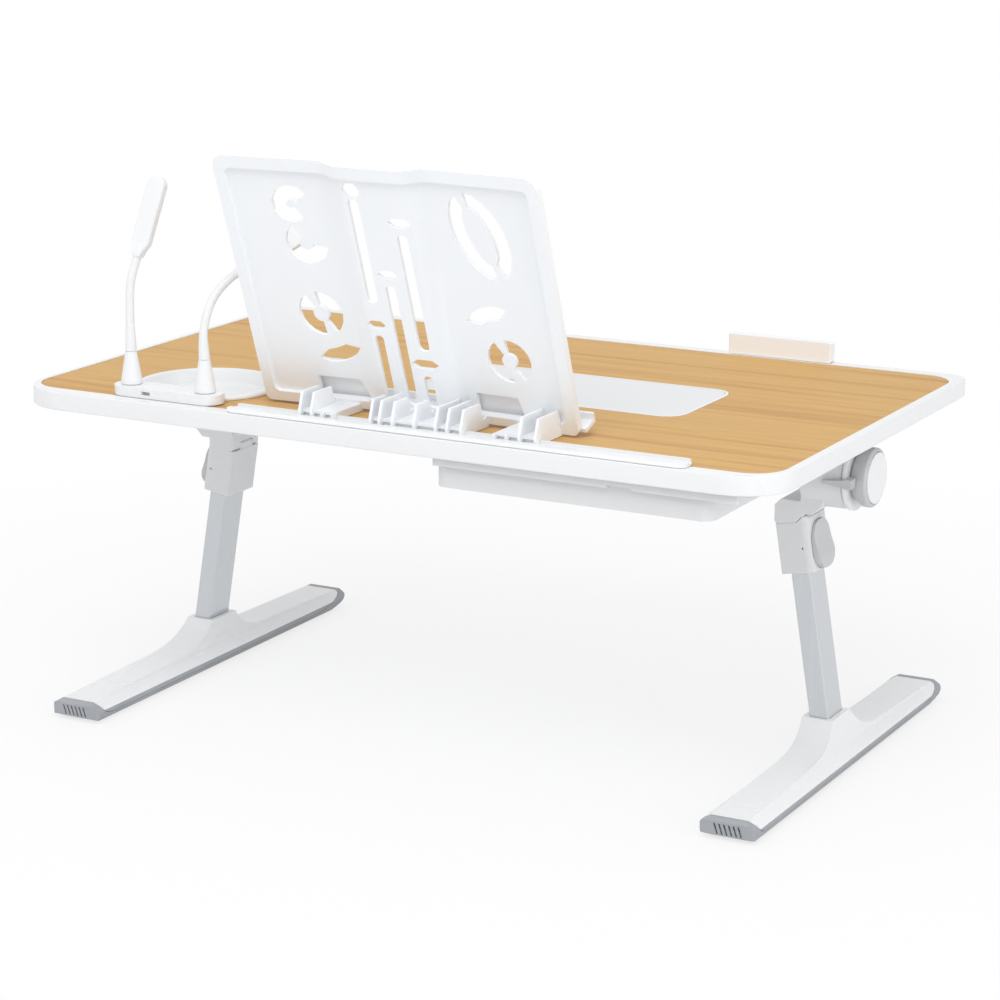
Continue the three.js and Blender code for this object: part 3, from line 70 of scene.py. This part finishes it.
def makeCamera():
    data = bpy.data.cameras.new("photoCamera")
    data.lens = cameraSettings["lens"]
    data.sensor_width = cameraSettings["sensor"]
    data.clip_start, data.clip_end = cameraSettings["nearClip"], cameraSettings["farClip"]
    camera = bpy.data.objects.new("photoCamera", data)
    bpy.context.scene.collection.objects.link(camera)
    right = cameraSettings["right"].normalized()
    up = cameraSettings["up"].normalized()
    turn = Matrix((right, up, right.cross(up))).transposed().to_4x4()
    camera.matrix_world = Matrix.Translation(topCentre + cameraSettings["fromTopCentre"]) @ turn
    bpy.context.scene.camera = camera


makeCamera()
print("camera placed")


# Helpers that add nodes to a material
def newMaterial(name):
    material = bpy.data.materials.new(name)
    material.use_nodes = True
    nodes = material.node_tree.nodes
    return material, nodes, material.node_tree.links, nodes["Principled BSDF"]


def patternSpace(nodes, links, scale, turn=(0, 0, 0), shift=(0, 0, 0)):
    place = nodes.new("ShaderNodeTexCoord")
    mapping = nodes.new("ShaderNodeMapping")
    mapping.inputs["Scale"].default_value = scale
    mapping.inputs["Rotation"].default_value = turn
    mapping.inputs["Location"].default_value = shift
    links.new(place.outputs["Object"], mapping.inputs["Vector"])
    return mapping.outputs["Vector"]


def noiseAt(nodes, links, space, scale, detail=2.0, rough=0.5, distort=0.0):
    noise = nodes.new("ShaderNodeTexNoise")
    noise.inputs["Scale"].default_value = scale
    noise.inputs["Detail"].default_value = detail
    noise.inputs["Roughness"].default_value = rough
    noise.inputs["Distortion"].default_value = distort
    links.new(space, noise.inputs["Vector"])
    return noise.outputs["Fac"]


def rampOf(nodes, links, source, stops):
    ramp = nodes.new("ShaderNodeValToRGB")
    elements = ramp.color_ramp.elements
    while len(elements) < len(stops):
        elements.new(0.5)
    for element, (place, colour) in zip(elements, stops):
        element.position = place
        element.color = (*colour, 1)
    links.new(source, ramp.inputs["Fac"])
    return ramp.outputs["Color"]


# A ramp between the dark and the light tone of a finish
def twoTone(nodes, links, source, settings):
    first, last = settings["toneStops"]
    return rampOf(nodes, links, source, [(first, settings["dark"]), (last, settings["light"])])


def spreadOf(nodes, links, source, limits):
    spread = nodes.new("ShaderNodeMapRange")
    spread.inputs["To Min"].default_value, spread.inputs["To Max"].default_value = limits
    links.new(source, spread.inputs["Value"])
    return spread.outputs["Result"]


def mixColours(nodes, links, share, first, second, blend="MIX"):
    mix = nodes.new("ShaderNodeMix")
    mix.data_type = "RGBA"
    mix.blend_type = blend
    if isinstance(share, float):
        mix.inputs["Factor"].default_value = share
    else:
        links.new(share, mix.inputs["Factor"])
    for socket, value in (("A", first), ("B", second)):
        target = [s for s in mix.inputs if s.name == socket and s.type == "RGBA"][0]
        if isinstance(value, tuple):
            target.default_value = (*value, 1)
        else:
            links.new(value, target)
    return [s for s in mix.outputs if s.type == "RGBA"][0]


def bumpFrom(nodes, links, shader, height, depth, strength):
    bump = nodes.new("ShaderNodeBump")
    bump.inputs["Strength"].default_value = strength
    bump.inputs["Distance"].default_value = depth
    links.new(height, bump.inputs["Height"])
    links.new(bump.outputs["Normal"], shader.inputs["Normal"])


plasticSettings = {
    "cloudScale": 9,
    "cloudDetail": 1,
    "darkerShare": 0.985,
    "toneStops": (0.2, 0.8),
    "roughnessSpread": 0.05,
    "skinDetail": 2,
    "skinStrength": 0.5,
}


# Moulded plastic: an even colour with faint clouding, and a skin that is never quite flat
def mouldedPlastic(name, colour, roughness, grain=900, grainDepth=0.02, sheen=0.35):
    material, nodes, links, shader = newMaterial(name)
    space = patternSpace(nodes, links, (1, 1, 1))
    cloud = noiseAt(nodes, links, space, plasticSettings["cloudScale"], plasticSettings["cloudDetail"])
    darker = tuple(value * plasticSettings["darkerShare"] for value in colour)
    tones = {"dark": darker, "light": colour, "toneStops": plasticSettings["toneStops"]}
    links.new(twoTone(nodes, links, cloud, tones), shader.inputs["Base Color"])
    limits = (roughness - plasticSettings["roughnessSpread"], roughness + plasticSettings["roughnessSpread"])
    links.new(spreadOf(nodes, links, cloud, limits), shader.inputs["Roughness"])
    skin = noiseAt(nodes, links, space, grain, plasticSettings["skinDetail"])
    bumpFrom(nodes, links, shader, skin, grainDepth * mm, plasticSettings["skinStrength"])
    shader.inputs["Specular IOR Level"].default_value = sheen
    return material


oakSettings = {
    "light": (0.665, 0.412, 0.142),
    "middle": (0.595, 0.340, 0.108),
    "dark": (0.490, 0.232, 0.072),
    "pore": (0.360, 0.180, 0.060),
    "bandSpace": (1.8, 62, 4),
    "bandStops": (0.33, 0.44, 0.53, 0.68),
    "streakSpace": (6, 600, 20),
    "streakStops": (0.35, 0.65),
    "streakShare": 0.35,
    "poreSpace": (42, 1500, 30),
    "poreStops": (0.24, 0.36),
    "poreShare": 0.30,
    "poreDepth": 0.03,
    "poreStrength": 0.4,
    "roughness": (0.42, 0.56),
    "sheen": 0.2,
}


# Laminate with the grain along X: broad soft bands, fine streaks, short pores and a satin skin
# A Space gives how often a pattern repeats along X, Y and Z
def oakLaminate():
    material, nodes, links, shader = newMaterial("oakLaminate")
    dark, middle, light = (oakSettings[tone] for tone in ("dark", "middle", "light"))
    wide = patternSpace(nodes, links, oakSettings["bandSpace"])
    bands = noiseAt(nodes, links, wide, 1.0, detail=5, rough=0.6, distort=0.8)
    fine = patternSpace(nodes, links, oakSettings["streakSpace"])
    streaks = noiseAt(nodes, links, fine, 1.0, detail=3, rough=0.6)
    pores = patternSpace(nodes, links, oakSettings["poreSpace"])
    pits = noiseAt(nodes, links, pores, 1.0, detail=1, rough=0.4)
    base = rampOf(nodes, links, bands, list(zip(oakSettings["bandStops"], (dark, middle, light, middle))))
    lines = rampOf(nodes, links, streaks, list(zip(oakSettings["streakStops"], (middle, light))))
    streaked = mixColours(nodes, links, oakSettings["streakShare"], base, lines)
    depths = ((oakSettings["poreShare"],) * 3, (0, 0, 0))
    holes = rampOf(nodes, links, pits, list(zip(oakSettings["poreStops"], depths)))
    links.new(mixColours(nodes, links, holes, streaked, oakSettings["pore"]), shader.inputs["Base Color"])
    links.new(spreadOf(nodes, links, streaks, oakSettings["roughness"]), shader.inputs["Roughness"])
    bumpFrom(nodes, links, shader, pits, oakSettings["poreDepth"] * mm, oakSettings["poreStrength"])
    shader.inputs["Specular IOR Level"].default_value = oakSettings["sheen"]
    return material


tubeSettings = {
    "dark": (0.575, 0.592, 0.618),
    "light": (0.610, 0.627, 0.653),
    "toneStops": (0.3, 0.7),
    "lineSpace": (1400, 1400, 5),
    "lineDetail": 2,
    "lineDepth": 0.01,
    "lineStrength": 0.4,
    "roughness": (0.20, 0.28),
    "metal": 0.75,
}


# Anodised tube: fine draw lines along its length
def anodisedTube():
    material, nodes, links, shader = newMaterial("anodisedTube")
    space = patternSpace(nodes, links, tubeSettings["lineSpace"])
    lines = noiseAt(nodes, links, space, 1.0, tubeSettings["lineDetail"])
    links.new(twoTone(nodes, links, lines, tubeSettings), shader.inputs["Base Color"])
    links.new(spreadOf(nodes, links, lines, tubeSettings["roughness"]), shader.inputs["Roughness"])
    bumpFrom(nodes, links, shader, lines, tubeSettings["lineDepth"] * mm, tubeSettings["lineStrength"])
    shader.inputs["Metallic"].default_value = tubeSettings["metal"]
    return material


steelSettings = {
    "dark": (0.50, 0.51, 0.53),
    "light": (0.60, 0.61, 0.63),
    "toneStops": (0.3, 0.7),
    "markSpace": (40, 40, 40),
    "markScale": 20,
    "roughness": (0.25, 0.4),
    "metal": 1.0,
}


# Bolts and pins: plain steel with faint marks
def plainSteel():
    material, nodes, links, shader = newMaterial("plainSteel")
    space = patternSpace(nodes, links, steelSettings["markSpace"])
    marks = noiseAt(nodes, links, space, steelSettings["markScale"], detail=4, rough=0.6)
    links.new(twoTone(nodes, links, marks, steelSettings), shader.inputs["Base Color"])
    links.new(spreadOf(nodes, links, marks, steelSettings["roughness"]), shader.inputs["Roughness"])
    shader.inputs["Metallic"].default_value = steelSettings["metal"]
    return material


gripSettings = {
    "dark": (0.350, 0.364, 0.388),
    "light": (0.388, 0.402, 0.426),
    "toneStops": (0.3, 0.7),
    "cloudScale": 25,
    "cloudDetail": 3,
    "pebbleScale": 900,
    "pebbleDepth": 0.05,
    "pebbleStrength": 0.5,
    "roughness": (0.55, 0.7),
}


# Grip sole: a rubbery skin with a fine pebble
def gripSole():
    material, nodes, links, shader = newMaterial("gripSole")
    space = patternSpace(nodes, links, (1, 1, 1))
    pebble = nodes.new("ShaderNodeTexVoronoi")
    pebble.inputs["Scale"].default_value = gripSettings["pebbleScale"]
    links.new(space, pebble.inputs["Vector"])
    cloud = noiseAt(nodes, links, space, gripSettings["cloudScale"], gripSettings["cloudDetail"])
    links.new(twoTone(nodes, links, cloud, gripSettings), shader.inputs["Base Color"])
    links.new(spreadOf(nodes, links, cloud, gripSettings["roughness"]), shader.inputs["Roughness"])
    height = pebble.outputs["Distance"]
    bumpFrom(nodes, links, shader, height, gripSettings["pebbleDepth"] * mm, gripSettings["pebbleStrength"])
    return material


# Finishes by the part's slots, and four more for single pieces: a lighter white as painted light, a darker
# white as painted shade, a button grey, and near-black painted shade for the grip slots
finishes = {
    "white_gloss": mouldedPlastic("whiteShell", (0.845, 0.855, 0.865), 0.28),
    "oak": oakLaminate(),
    "pale_grey": mouldedPlastic("padFilm", (0.780, 0.790, 0.805), 0.42, 1500, 0.03),
    "leg_grey": mouldedPlastic("legPlastic", (0.760, 0.768, 0.776), 0.38, 1100, 0.03),
    "dark_grey": mouldedPlastic("greyPlastic", (0.560, 0.565, 0.575), 0.42, 1100, 0.04),
    "sole_rubber": gripSole(),
    "anodised": anodisedTube(),
    "steel": plainSteel(),
    "silicone": mouldedPlastic("lampSkin", (0.860, 0.870, 0.880), 0.45, 1300, 0.03, 0.25),
    "lens": mouldedPlastic("lampDiffuser", (0.880, 0.880, 0.850), 0.3, 600, 0.02),
    # Painted light: a lighter copy of the shell's white for the lit stand
    "standPaintedLight": mouldedPlastic("standPaintedLightPlastic", (0.912, 0.930, 0.952), 0.32),
    # Painted shade: a darker copy of the shell's white for the drawer under the rim
    "drawerPaintedShade": mouldedPlastic("drawerPaintedShadePlastic", (0.740, 0.745, 0.752), 0.36, 1000, 0.03),
    "buttonGrey": mouldedPlastic("buttonPlastic", (0.590, 0.595, 0.600), 0.40, 1100, 0.03),
    # Painted shade: near-black for the inside of the grip slots
    "slotShade": mouldedPlastic("slotShade", (0.030, 0.031, 0.033), 0.60, 900, 0.03),
}
# Pieces painted in another copy of their slot's finish: the stand, its clips and the stop bar in a lighter
# white as painted light, the drawer in a darker white as painted shade under the rim, the buttons in a
# slightly different grey
toneOf = {
    "book_stand": "standPaintedLight",
    "page_clip_a": "standPaintedLight",
    "page_clip_b": "standPaintedLight",
    "stop_bar": "standPaintedLight",
    "drawer": "drawerPaintedShade",
    "release_button_a": "buttonGrey",
    "release_button_b": "buttonGrey",
}
print("finishes made")


# Edges are eased in the same way on all pieces; lengths are in mm, angles in degrees
easeSettings = {
    "mergeDistance": 0.002,
    "flatAngle": 0.6,
    "bevelAngle": 38,
    "bevelSegments": 2,
    "smoothAngle": 32,
}


def deselectAll():
    bpy.ops.object.select_all(action="DESELECT")


def selectOnly(piece):
    deselectAll()
    piece.select_set(True)
    bpy.context.view_layer.objects.active = piece


def paint(piece, finishName):
    piece.data.materials.clear()
    piece.data.materials.append(finishes[finishName])


# A copy of a CAD node, its loose triangles joined
def mergedCopy(node, name):
    piece = bpy.data.objects.new(name, frame["nodes"][node].data.copy())
    bpy.context.scene.collection.objects.link(piece)
    selectOnly(piece)
    bpy.ops.object.mode_set(mode="EDIT")
    bpy.ops.mesh.select_all(action="SELECT")
    bpy.ops.mesh.remove_doubles(threshold=easeSettings["mergeDistance"] * mm)
    bpy.ops.object.mode_set(mode="OBJECT")
    return piece


# Keeps what lies above or below a level, and closes the cut
def cutAtLevel(piece, level, keepAbove):
    selectOnly(piece)
    bpy.ops.object.mode_set(mode="EDIT")
    bpy.ops.mesh.select_all(action="SELECT")
    bpy.ops.mesh.bisect(plane_co=(0, 0, level), plane_no=(0, 0, 1), use_fill=True,
                        clear_inner=keepAbove, clear_outer=not keepAbove)
    bpy.ops.object.mode_set(mode="OBJECT")


# Flat faces are merged, edges rounded, and flat faces kept flat in the shading
def easeEdges(piece, width, smoothAngle=easeSettings["smoothAngle"]):
    selectOnly(piece)
    bpy.ops.object.mode_set(mode="EDIT")
    bpy.ops.mesh.select_all(action="SELECT")
    bpy.ops.mesh.dissolve_limited(angle_limit=math.radians(easeSettings["flatAngle"]))
    bpy.ops.object.mode_set(mode="OBJECT")
    if width:
        bevel = piece.modifiers.new("ease", "BEVEL")
        bevel.width = width * mm
        bevel.segments = easeSettings["bevelSegments"]
        bevel.limit_method = "ANGLE"
        bevel.angle_limit = math.radians(easeSettings["bevelAngle"])
        bevel.use_clamp_overlap = True
        bpy.ops.object.modifier_apply(modifier="ease")
    bpy.ops.object.shade_smooth_by_angle(angle=math.radians(smoothAngle))
    weighted = piece.modifiers.new("flatFaces", "WEIGHTED_NORMAL")
    weighted.keep_sharp = True
    bpy.ops.object.modifier_apply(modifier="flatFaces")


# The piece rides on its node's body and stands in for the node
def settle(piece, node):
    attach(piece, bodyOf[node])
    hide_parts(node)
    paint(piece, toneOf.get(node, slotOf[node]))


def easedCopy(node, name, width):
    piece = mergedCopy(node, name)
    easeEdges(piece, width)
    settle(piece, node)


# Node, name of the finished piece, eased edge
easedPieces = [
    ("table_frame", "topShell", 0.5),
    ("wood_panel", "oakTop", 0.25),
    ("pad_trim", "padRim", 0.15),
    ("centre_pad", "padSheet", 0.15),
    ("cup_tray", "cupWell", 0.4),
    ("lamp_block", "lampSocketBar", 0.6),
    ("stand_rail", "slottedRail", 0.35),
    ("drawer_runner_rear", "rearRunner", 0.25),
    ("drawer_runner_front", "frontRunner", 0.25),
    ("drawer", "drawerTray", 0.5),
    ("stop_bar", "stopBar", 0.6),
    ("book_stand", "bookPlate", 0.25),
    ("page_clip_a", "pageClipLeft", 0.35),
    ("page_clip_b", "pageClipRight", 0.35),
    ("clip_pin_a", "clipPinLeft", 0.1),
    ("clip_pin_b", "clipPinRight", 0.1),
]
# The same for the pieces that both sides have
sidedPieces = [
    ("hub_bracket", "tiltBracket", 0.5),
    ("clamp_bolt", "clampBolt", 0.2),
    ("clamp_knob", "clampLever", 0.5),
    ("knob_cap", "leverDisc", 0.5),
    ("leg_head", "legHead", 0.6),
    ("fold_pin", "foldPin", 0.15),
    ("leg_sleeve", "legSleeve", 0.5),
    ("release_button", "heightButton", 0.3),
    ("leg_tube", "innerTube", 0.2),
    ("lamp_plug", "lampBase", 0.4),
    ("lamp_lens", "lampLens", 0.3),
]
sides = [("a", "Left"), ("b", "Right")]
for node, name, width in easedPieces:
    easedCopy(node, name, width)
for node, name, width in sidedPieces:
    for side, ending in sides:
        easedCopy(f"{node}_{side}", name + ending, width)
print("pieces finished")


# Lamps: the neck has a slimmer waist, and the head is drawn out into a root over the neck's end
lampShapes = {
    "waist": 1.1,
    "waistFullShare": 0.3,
    "neckSmooth": 60,
    "halfWidth": 8.0,
    "halfThickness": 3.5,
    "rootStart": 6.0,
    "headEdge": 0.9,
    "headLength": 57.0,
    "headSmooth": 40,
}
# Root sections: place along the head in mm, half width and half thickness there
rootSections = [
    (4.5, 7.5, 3.6),
    (2.5, 6.6, 3.7),
    (0.5, 5.5, 3.8),
    (-1.5, 4.6, 3.9),
    (-3.5, 4.0, 3.9),
    (-5.5, 3.6, 3.6),
]


def finishNeck(side, ending):
    node = f"lamp_neck_{side}"
    piece = mergedCopy(node, "lampStem" + ending)
    low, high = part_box(node)
    group = piece.vertex_groups.new(name="waist")
    for vertex in piece.data.vertices:
        share = (vertex.co.z - low.z) / (high.z - low.z)
        part = min(1.0, max(0.0, share / lampShapes["waistFullShare"]))
        group.add([vertex.index], part * part * (3 - 2 * part), "REPLACE")
    slim = piece.modifiers.new("waist", "DISPLACE")
    slim.vertex_group = "waist"
    slim.strength = -lampShapes["waist"] * mm
    slim.mid_level = 0.0
    bpy.ops.object.modifier_apply(modifier="waist")
    piece.vertex_groups.clear()
    easeEdges(piece, 0.0, lampShapes["neckSmooth"])
    settle(piece, node)


# Turn and place of a head: its long axis is Z, its width X, and zero is where the neck ends
def headPlace(piece, side):
    points = numpy.array([vertex.co[:] for vertex in piece.data.vertices])
    mean = points.mean(axis=0)
    middle = Vector(numpy.round(mean, 6))
    axes = numpy.round(numpy.linalg.eigh(numpy.cov((points - mean).T))[1], 5)
    along, across = Vector(axes[:, 2]), Vector(axes[:, 1])
    across *= math.copysign(1, max(across, key=abs))  # always the same way round
    neckLow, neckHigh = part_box(f"lamp_neck_{side}")
    if along.dot(middle - (neckLow + neckHigh) / 2) < 0:
        along = -along
    turn = Matrix((across, along.cross(across), along)).transposed().to_4x4()
    return Matrix.Translation(middle - along * lampShapes["headLength"] / 2 * mm) @ turn


def finishHead(side, ending):
    node = f"lamp_head_{side}"
    piece = mergedCopy(node, "lampHead" + ending)
    place = headPlace(piece, side)
    piece.data.transform(place.inverted())
    bpy.ops.object.mode_set(mode="EDIT")
    bpy.ops.mesh.select_mode(type="EDGE")
    bpy.ops.mesh.select_all(action="SELECT")
    level, width, thickness = lampShapes["rootStart"], lampShapes["halfWidth"], lampShapes["halfThickness"]
    bpy.ops.mesh.bisect(plane_co=(0, 0, level * mm), plane_no=(0, 0, 1), clear_inner=True)
    for nextLevel, nextWidth, nextThickness in rootSections:
        step = (nextLevel - level) * mm
        bpy.ops.mesh.extrude_region_move(TRANSFORM_OT_translate={"value": (0, 0, step)})
        bpy.ops.transform.resize(value=(nextWidth / width, nextThickness / thickness, 1),
                                 center_override=(0, 0, nextLevel * mm))
        level, width, thickness = nextLevel, nextWidth, nextThickness
    bpy.ops.mesh.edge_face_add()
    bpy.ops.mesh.select_all(action="SELECT")
    bpy.ops.mesh.normals_make_consistent(inside=False)
    bpy.ops.mesh.select_mode(type="VERT")
    bpy.ops.object.mode_set(mode="OBJECT")
    piece.data.transform(place)
    easeEdges(piece, lampShapes["headEdge"], lampShapes["headSmooth"])
    settle(piece, node)


for side, ending in sides:
    finishNeck(side, ending)
    finishHead(side, ending)
print("lamps finished")


# Feet: the grip band reaches up to the shell's widest line, and dark sheets in its slots are painted shade
footSettings = {
    "bandTop": 10.2,
    "shellEdge": 0.6,
    "soleEdge": 0.5,
    "slotCount": 6,
    "slotPitch": 3.75,
    "slotWidth": 1.3,
    "slotHeight": 7.6,
    "slotMiddle": 8.5,
    "slotSlant": 2.6,
    "slotDepth": 2.0,
    "shadeSheet": 0.8,
    "shadeSheetEdge": 0.1,
}


# Painted shade: dark slanted sheets on the floors of the grip slots at the rear end
def shadeSlots(side, ending):
    low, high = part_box(f"foot_sole_{side}")
    lean = math.atan2(footSettings["slotSlant"], footSettings["slotHeight"]) * (-1 if side == "a" else 1)
    floorY = high.y - (footSettings["slotDepth"] - footSettings["shadeSheet"] / 2) * mm
    size = (footSettings["slotWidth"], footSettings["shadeSheet"], footSettings["slotHeight"])
    shadeSheets = []
    for index in range(footSettings["slotCount"]):
        offset = (index - (footSettings["slotCount"] - 1) / 2) * footSettings["slotPitch"]
        middleX = (low.x + high.x) / 2 + (offset + footSettings["slotWidth"] / 2) * mm
        place = Vector((middleX, floorY, footSettings["slotMiddle"] * mm))
        deselectAll()
        bpy.ops.mesh.primitive_cube_add(size=mm, location=(0, 0, 0))
        shadeSheet = bpy.context.active_object
        bpy.ops.object.mode_set(mode="EDIT")
        bpy.ops.mesh.select_all(action="SELECT")
        bpy.ops.transform.resize(value=size)
        bpy.ops.transform.rotate(value=lean, orient_axis="Y", center_override=(0, 0, 0))
        bpy.ops.transform.translate(value=place)
        bpy.ops.object.mode_set(mode="OBJECT")
        shadeSheets.append(shadeSheet)
    selectOnly(shadeSheets[0])
    for shadeSheet in shadeSheets:
        shadeSheet.select_set(True)
    bpy.ops.object.join()
    piece = bpy.context.active_object
    piece.name = "gripSlotShade" + ending
    easeEdges(piece, footSettings["shadeSheetEdge"])
    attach(piece, bodyOf[f"foot_sole_{side}"])
    paint(piece, "slotShade")


# The shell keeps what is above the band's top; the rest of it joins the sole
def finishFoot(side, ending):
    shell = mergedCopy(f"foot_shell_{side}", "footShell" + ending)
    band = mergedCopy(f"foot_shell_{side}", "footBand" + ending)
    sole = mergedCopy(f"foot_sole_{side}", "footSole" + ending)
    level = footSettings["bandTop"] * mm
    cutAtLevel(shell, level, True)
    cutAtLevel(band, level, False)
    selectOnly(sole)
    band.select_set(True)
    bpy.ops.object.join()
    easeEdges(shell, footSettings["shellEdge"])
    easeEdges(sole, footSettings["soleEdge"])
    settle(shell, f"foot_shell_{side}")
    settle(sole, f"foot_sole_{side}")


for side, ending in sides:
    finishFoot(side, ending)
    shadeSlots(side, ending)
print("feet finished")


# Floor, backdrop and lights
studioSettings = {
    "floorReach": 30.0,
    "floorSides": 64,
    "floorColour": (0.90, 0.905, 0.91),
    "floorRoughness": 0.6,
    "floorSheen": 0.1,
    "shadowShare": 0.25,
    "shadowFull": 0.35,
    "shadowGone": 0.95,
    "worldLight": 0.62,
    "aimHeight": 0.2,
}


# The camera and shiny pieces see a white floor, which keeps the table's shadow near it
def makeFloor():
    deselectAll()
    bpy.ops.mesh.primitive_circle_add(vertices=studioSettings["floorSides"],
                                      radius=studioSettings["floorReach"], fill_type="NGON")
    floor = bpy.context.active_object
    floor.name = "studioFloor"
    material, nodes, links, shader = newMaterial("studioFloor")
    shader.inputs["Base Color"].default_value = (*studioSettings["floorColour"], 1)
    shader.inputs["Roughness"].default_value = studioSettings["floorRoughness"]
    shader.inputs["Specular IOR Level"].default_value = studioSettings["floorSheen"]
    glow = nodes.new("ShaderNodeEmission")
    path = nodes.new("ShaderNodeLightPath")
    seen = nodes.new("ShaderNodeMath")
    seen.operation = "MAXIMUM"
    links.new(path.outputs["Is Camera Ray"], seen.inputs[0])
    links.new(path.outputs["Is Glossy Ray"], seen.inputs[1])
    place = nodes.new("ShaderNodeTexCoord")
    far = nodes.new("ShaderNodeVectorMath")
    far.operation = "LENGTH"
    links.new(place.outputs["Object"], far.inputs[0])
    fade = nodes.new("ShaderNodeMapRange")
    fade.inputs["From Min"].default_value = studioSettings["shadowFull"]
    fade.inputs["From Max"].default_value = studioSettings["shadowGone"]
    fade.inputs["To Min"].default_value = 1 - studioSettings["shadowShare"]
    links.new(far.outputs["Value"], fade.inputs["Value"])
    share = nodes.new("ShaderNodeMath")
    share.operation = "MULTIPLY"
    links.new(fade.outputs["Result"], share.inputs[0])
    links.new(seen.outputs["Value"], share.inputs[1])
    blend = nodes.new("ShaderNodeMixShader")
    links.new(share.outputs["Value"], blend.inputs["Fac"])
    links.new(shader.outputs["BSDF"], blend.inputs[1])
    links.new(glow.outputs["Emission"], blend.inputs[2])
    links.new(blend.outputs["Shader"], nodes["Material Output"].inputs["Surface"])
    floor.data.materials.append(material)


# White where it is seen, and a calmer light on the table
def makeWorld():
    world = bpy.data.worlds.new("studioWorld")
    bpy.context.scene.world = world
    world.use_nodes = True
    nodes, links = world.node_tree.nodes, world.node_tree.links
    back = nodes["Background"]
    back.inputs["Color"].default_value = (1, 1, 1, 1)
    path = nodes.new("ShaderNodeLightPath")
    seen = nodes.new("ShaderNodeMath")
    seen.operation = "MAXIMUM"
    links.new(path.outputs["Is Camera Ray"], seen.inputs[0])
    links.new(path.outputs["Is Transmission Ray"], seen.inputs[1])
    seenOrShiny = nodes.new("ShaderNodeMath")
    seenOrShiny.operation = "MAXIMUM"
    links.new(seen.outputs["Value"], seenOrShiny.inputs[0])
    links.new(path.outputs["Is Glossy Ray"], seenOrShiny.inputs[1])
    level = nodes.new("ShaderNodeMapRange")
    level.inputs["To Min"].default_value = studioSettings["worldLight"]
    level.inputs["To Max"].default_value = 1.0
    links.new(seenOrShiny.outputs["Value"], level.inputs["Value"])
    links.new(level.outputs["Result"], back.inputs["Strength"])


# Name, place, size, power in watts; each looks at the middle of the table
softboxes = [
    ("overheadSoftbox", Vector((0.1, 0.2, 2.3)), 2.2, 7.0),
    ("frontSoftbox", Vector((-0.5, 1.7, 2.2)), 1.6, 22.0),
    ("leftSoftbox", Vector((1.9, 1.4, 1.5)), 1.6, 6.0),
    ("rightSoftbox", Vector((-2.4, 0.6, 0.8)), 1.2, 12.0),
]


def makeSoftboxes():
    aim = topCentre + Vector((0, 0, studioSettings["aimHeight"]))
    for name, place, size, power in softboxes:
        data = bpy.data.lights.new(name, "AREA")
        data.shape = "DISK"
        data.size = size
        data.energy = power
        softbox = bpy.data.objects.new(name, data)
        bpy.context.scene.collection.objects.link(softbox)
        softbox.location = place
        softbox.rotation_mode = "QUATERNION"
        softbox.rotation_quaternion = (aim - place).to_track_quat("-Z", "Y")


makeFloor()
makeWorld()
makeSoftboxes()
bpy.context.scene.view_settings.view_transform = "Standard"
print("studio set")
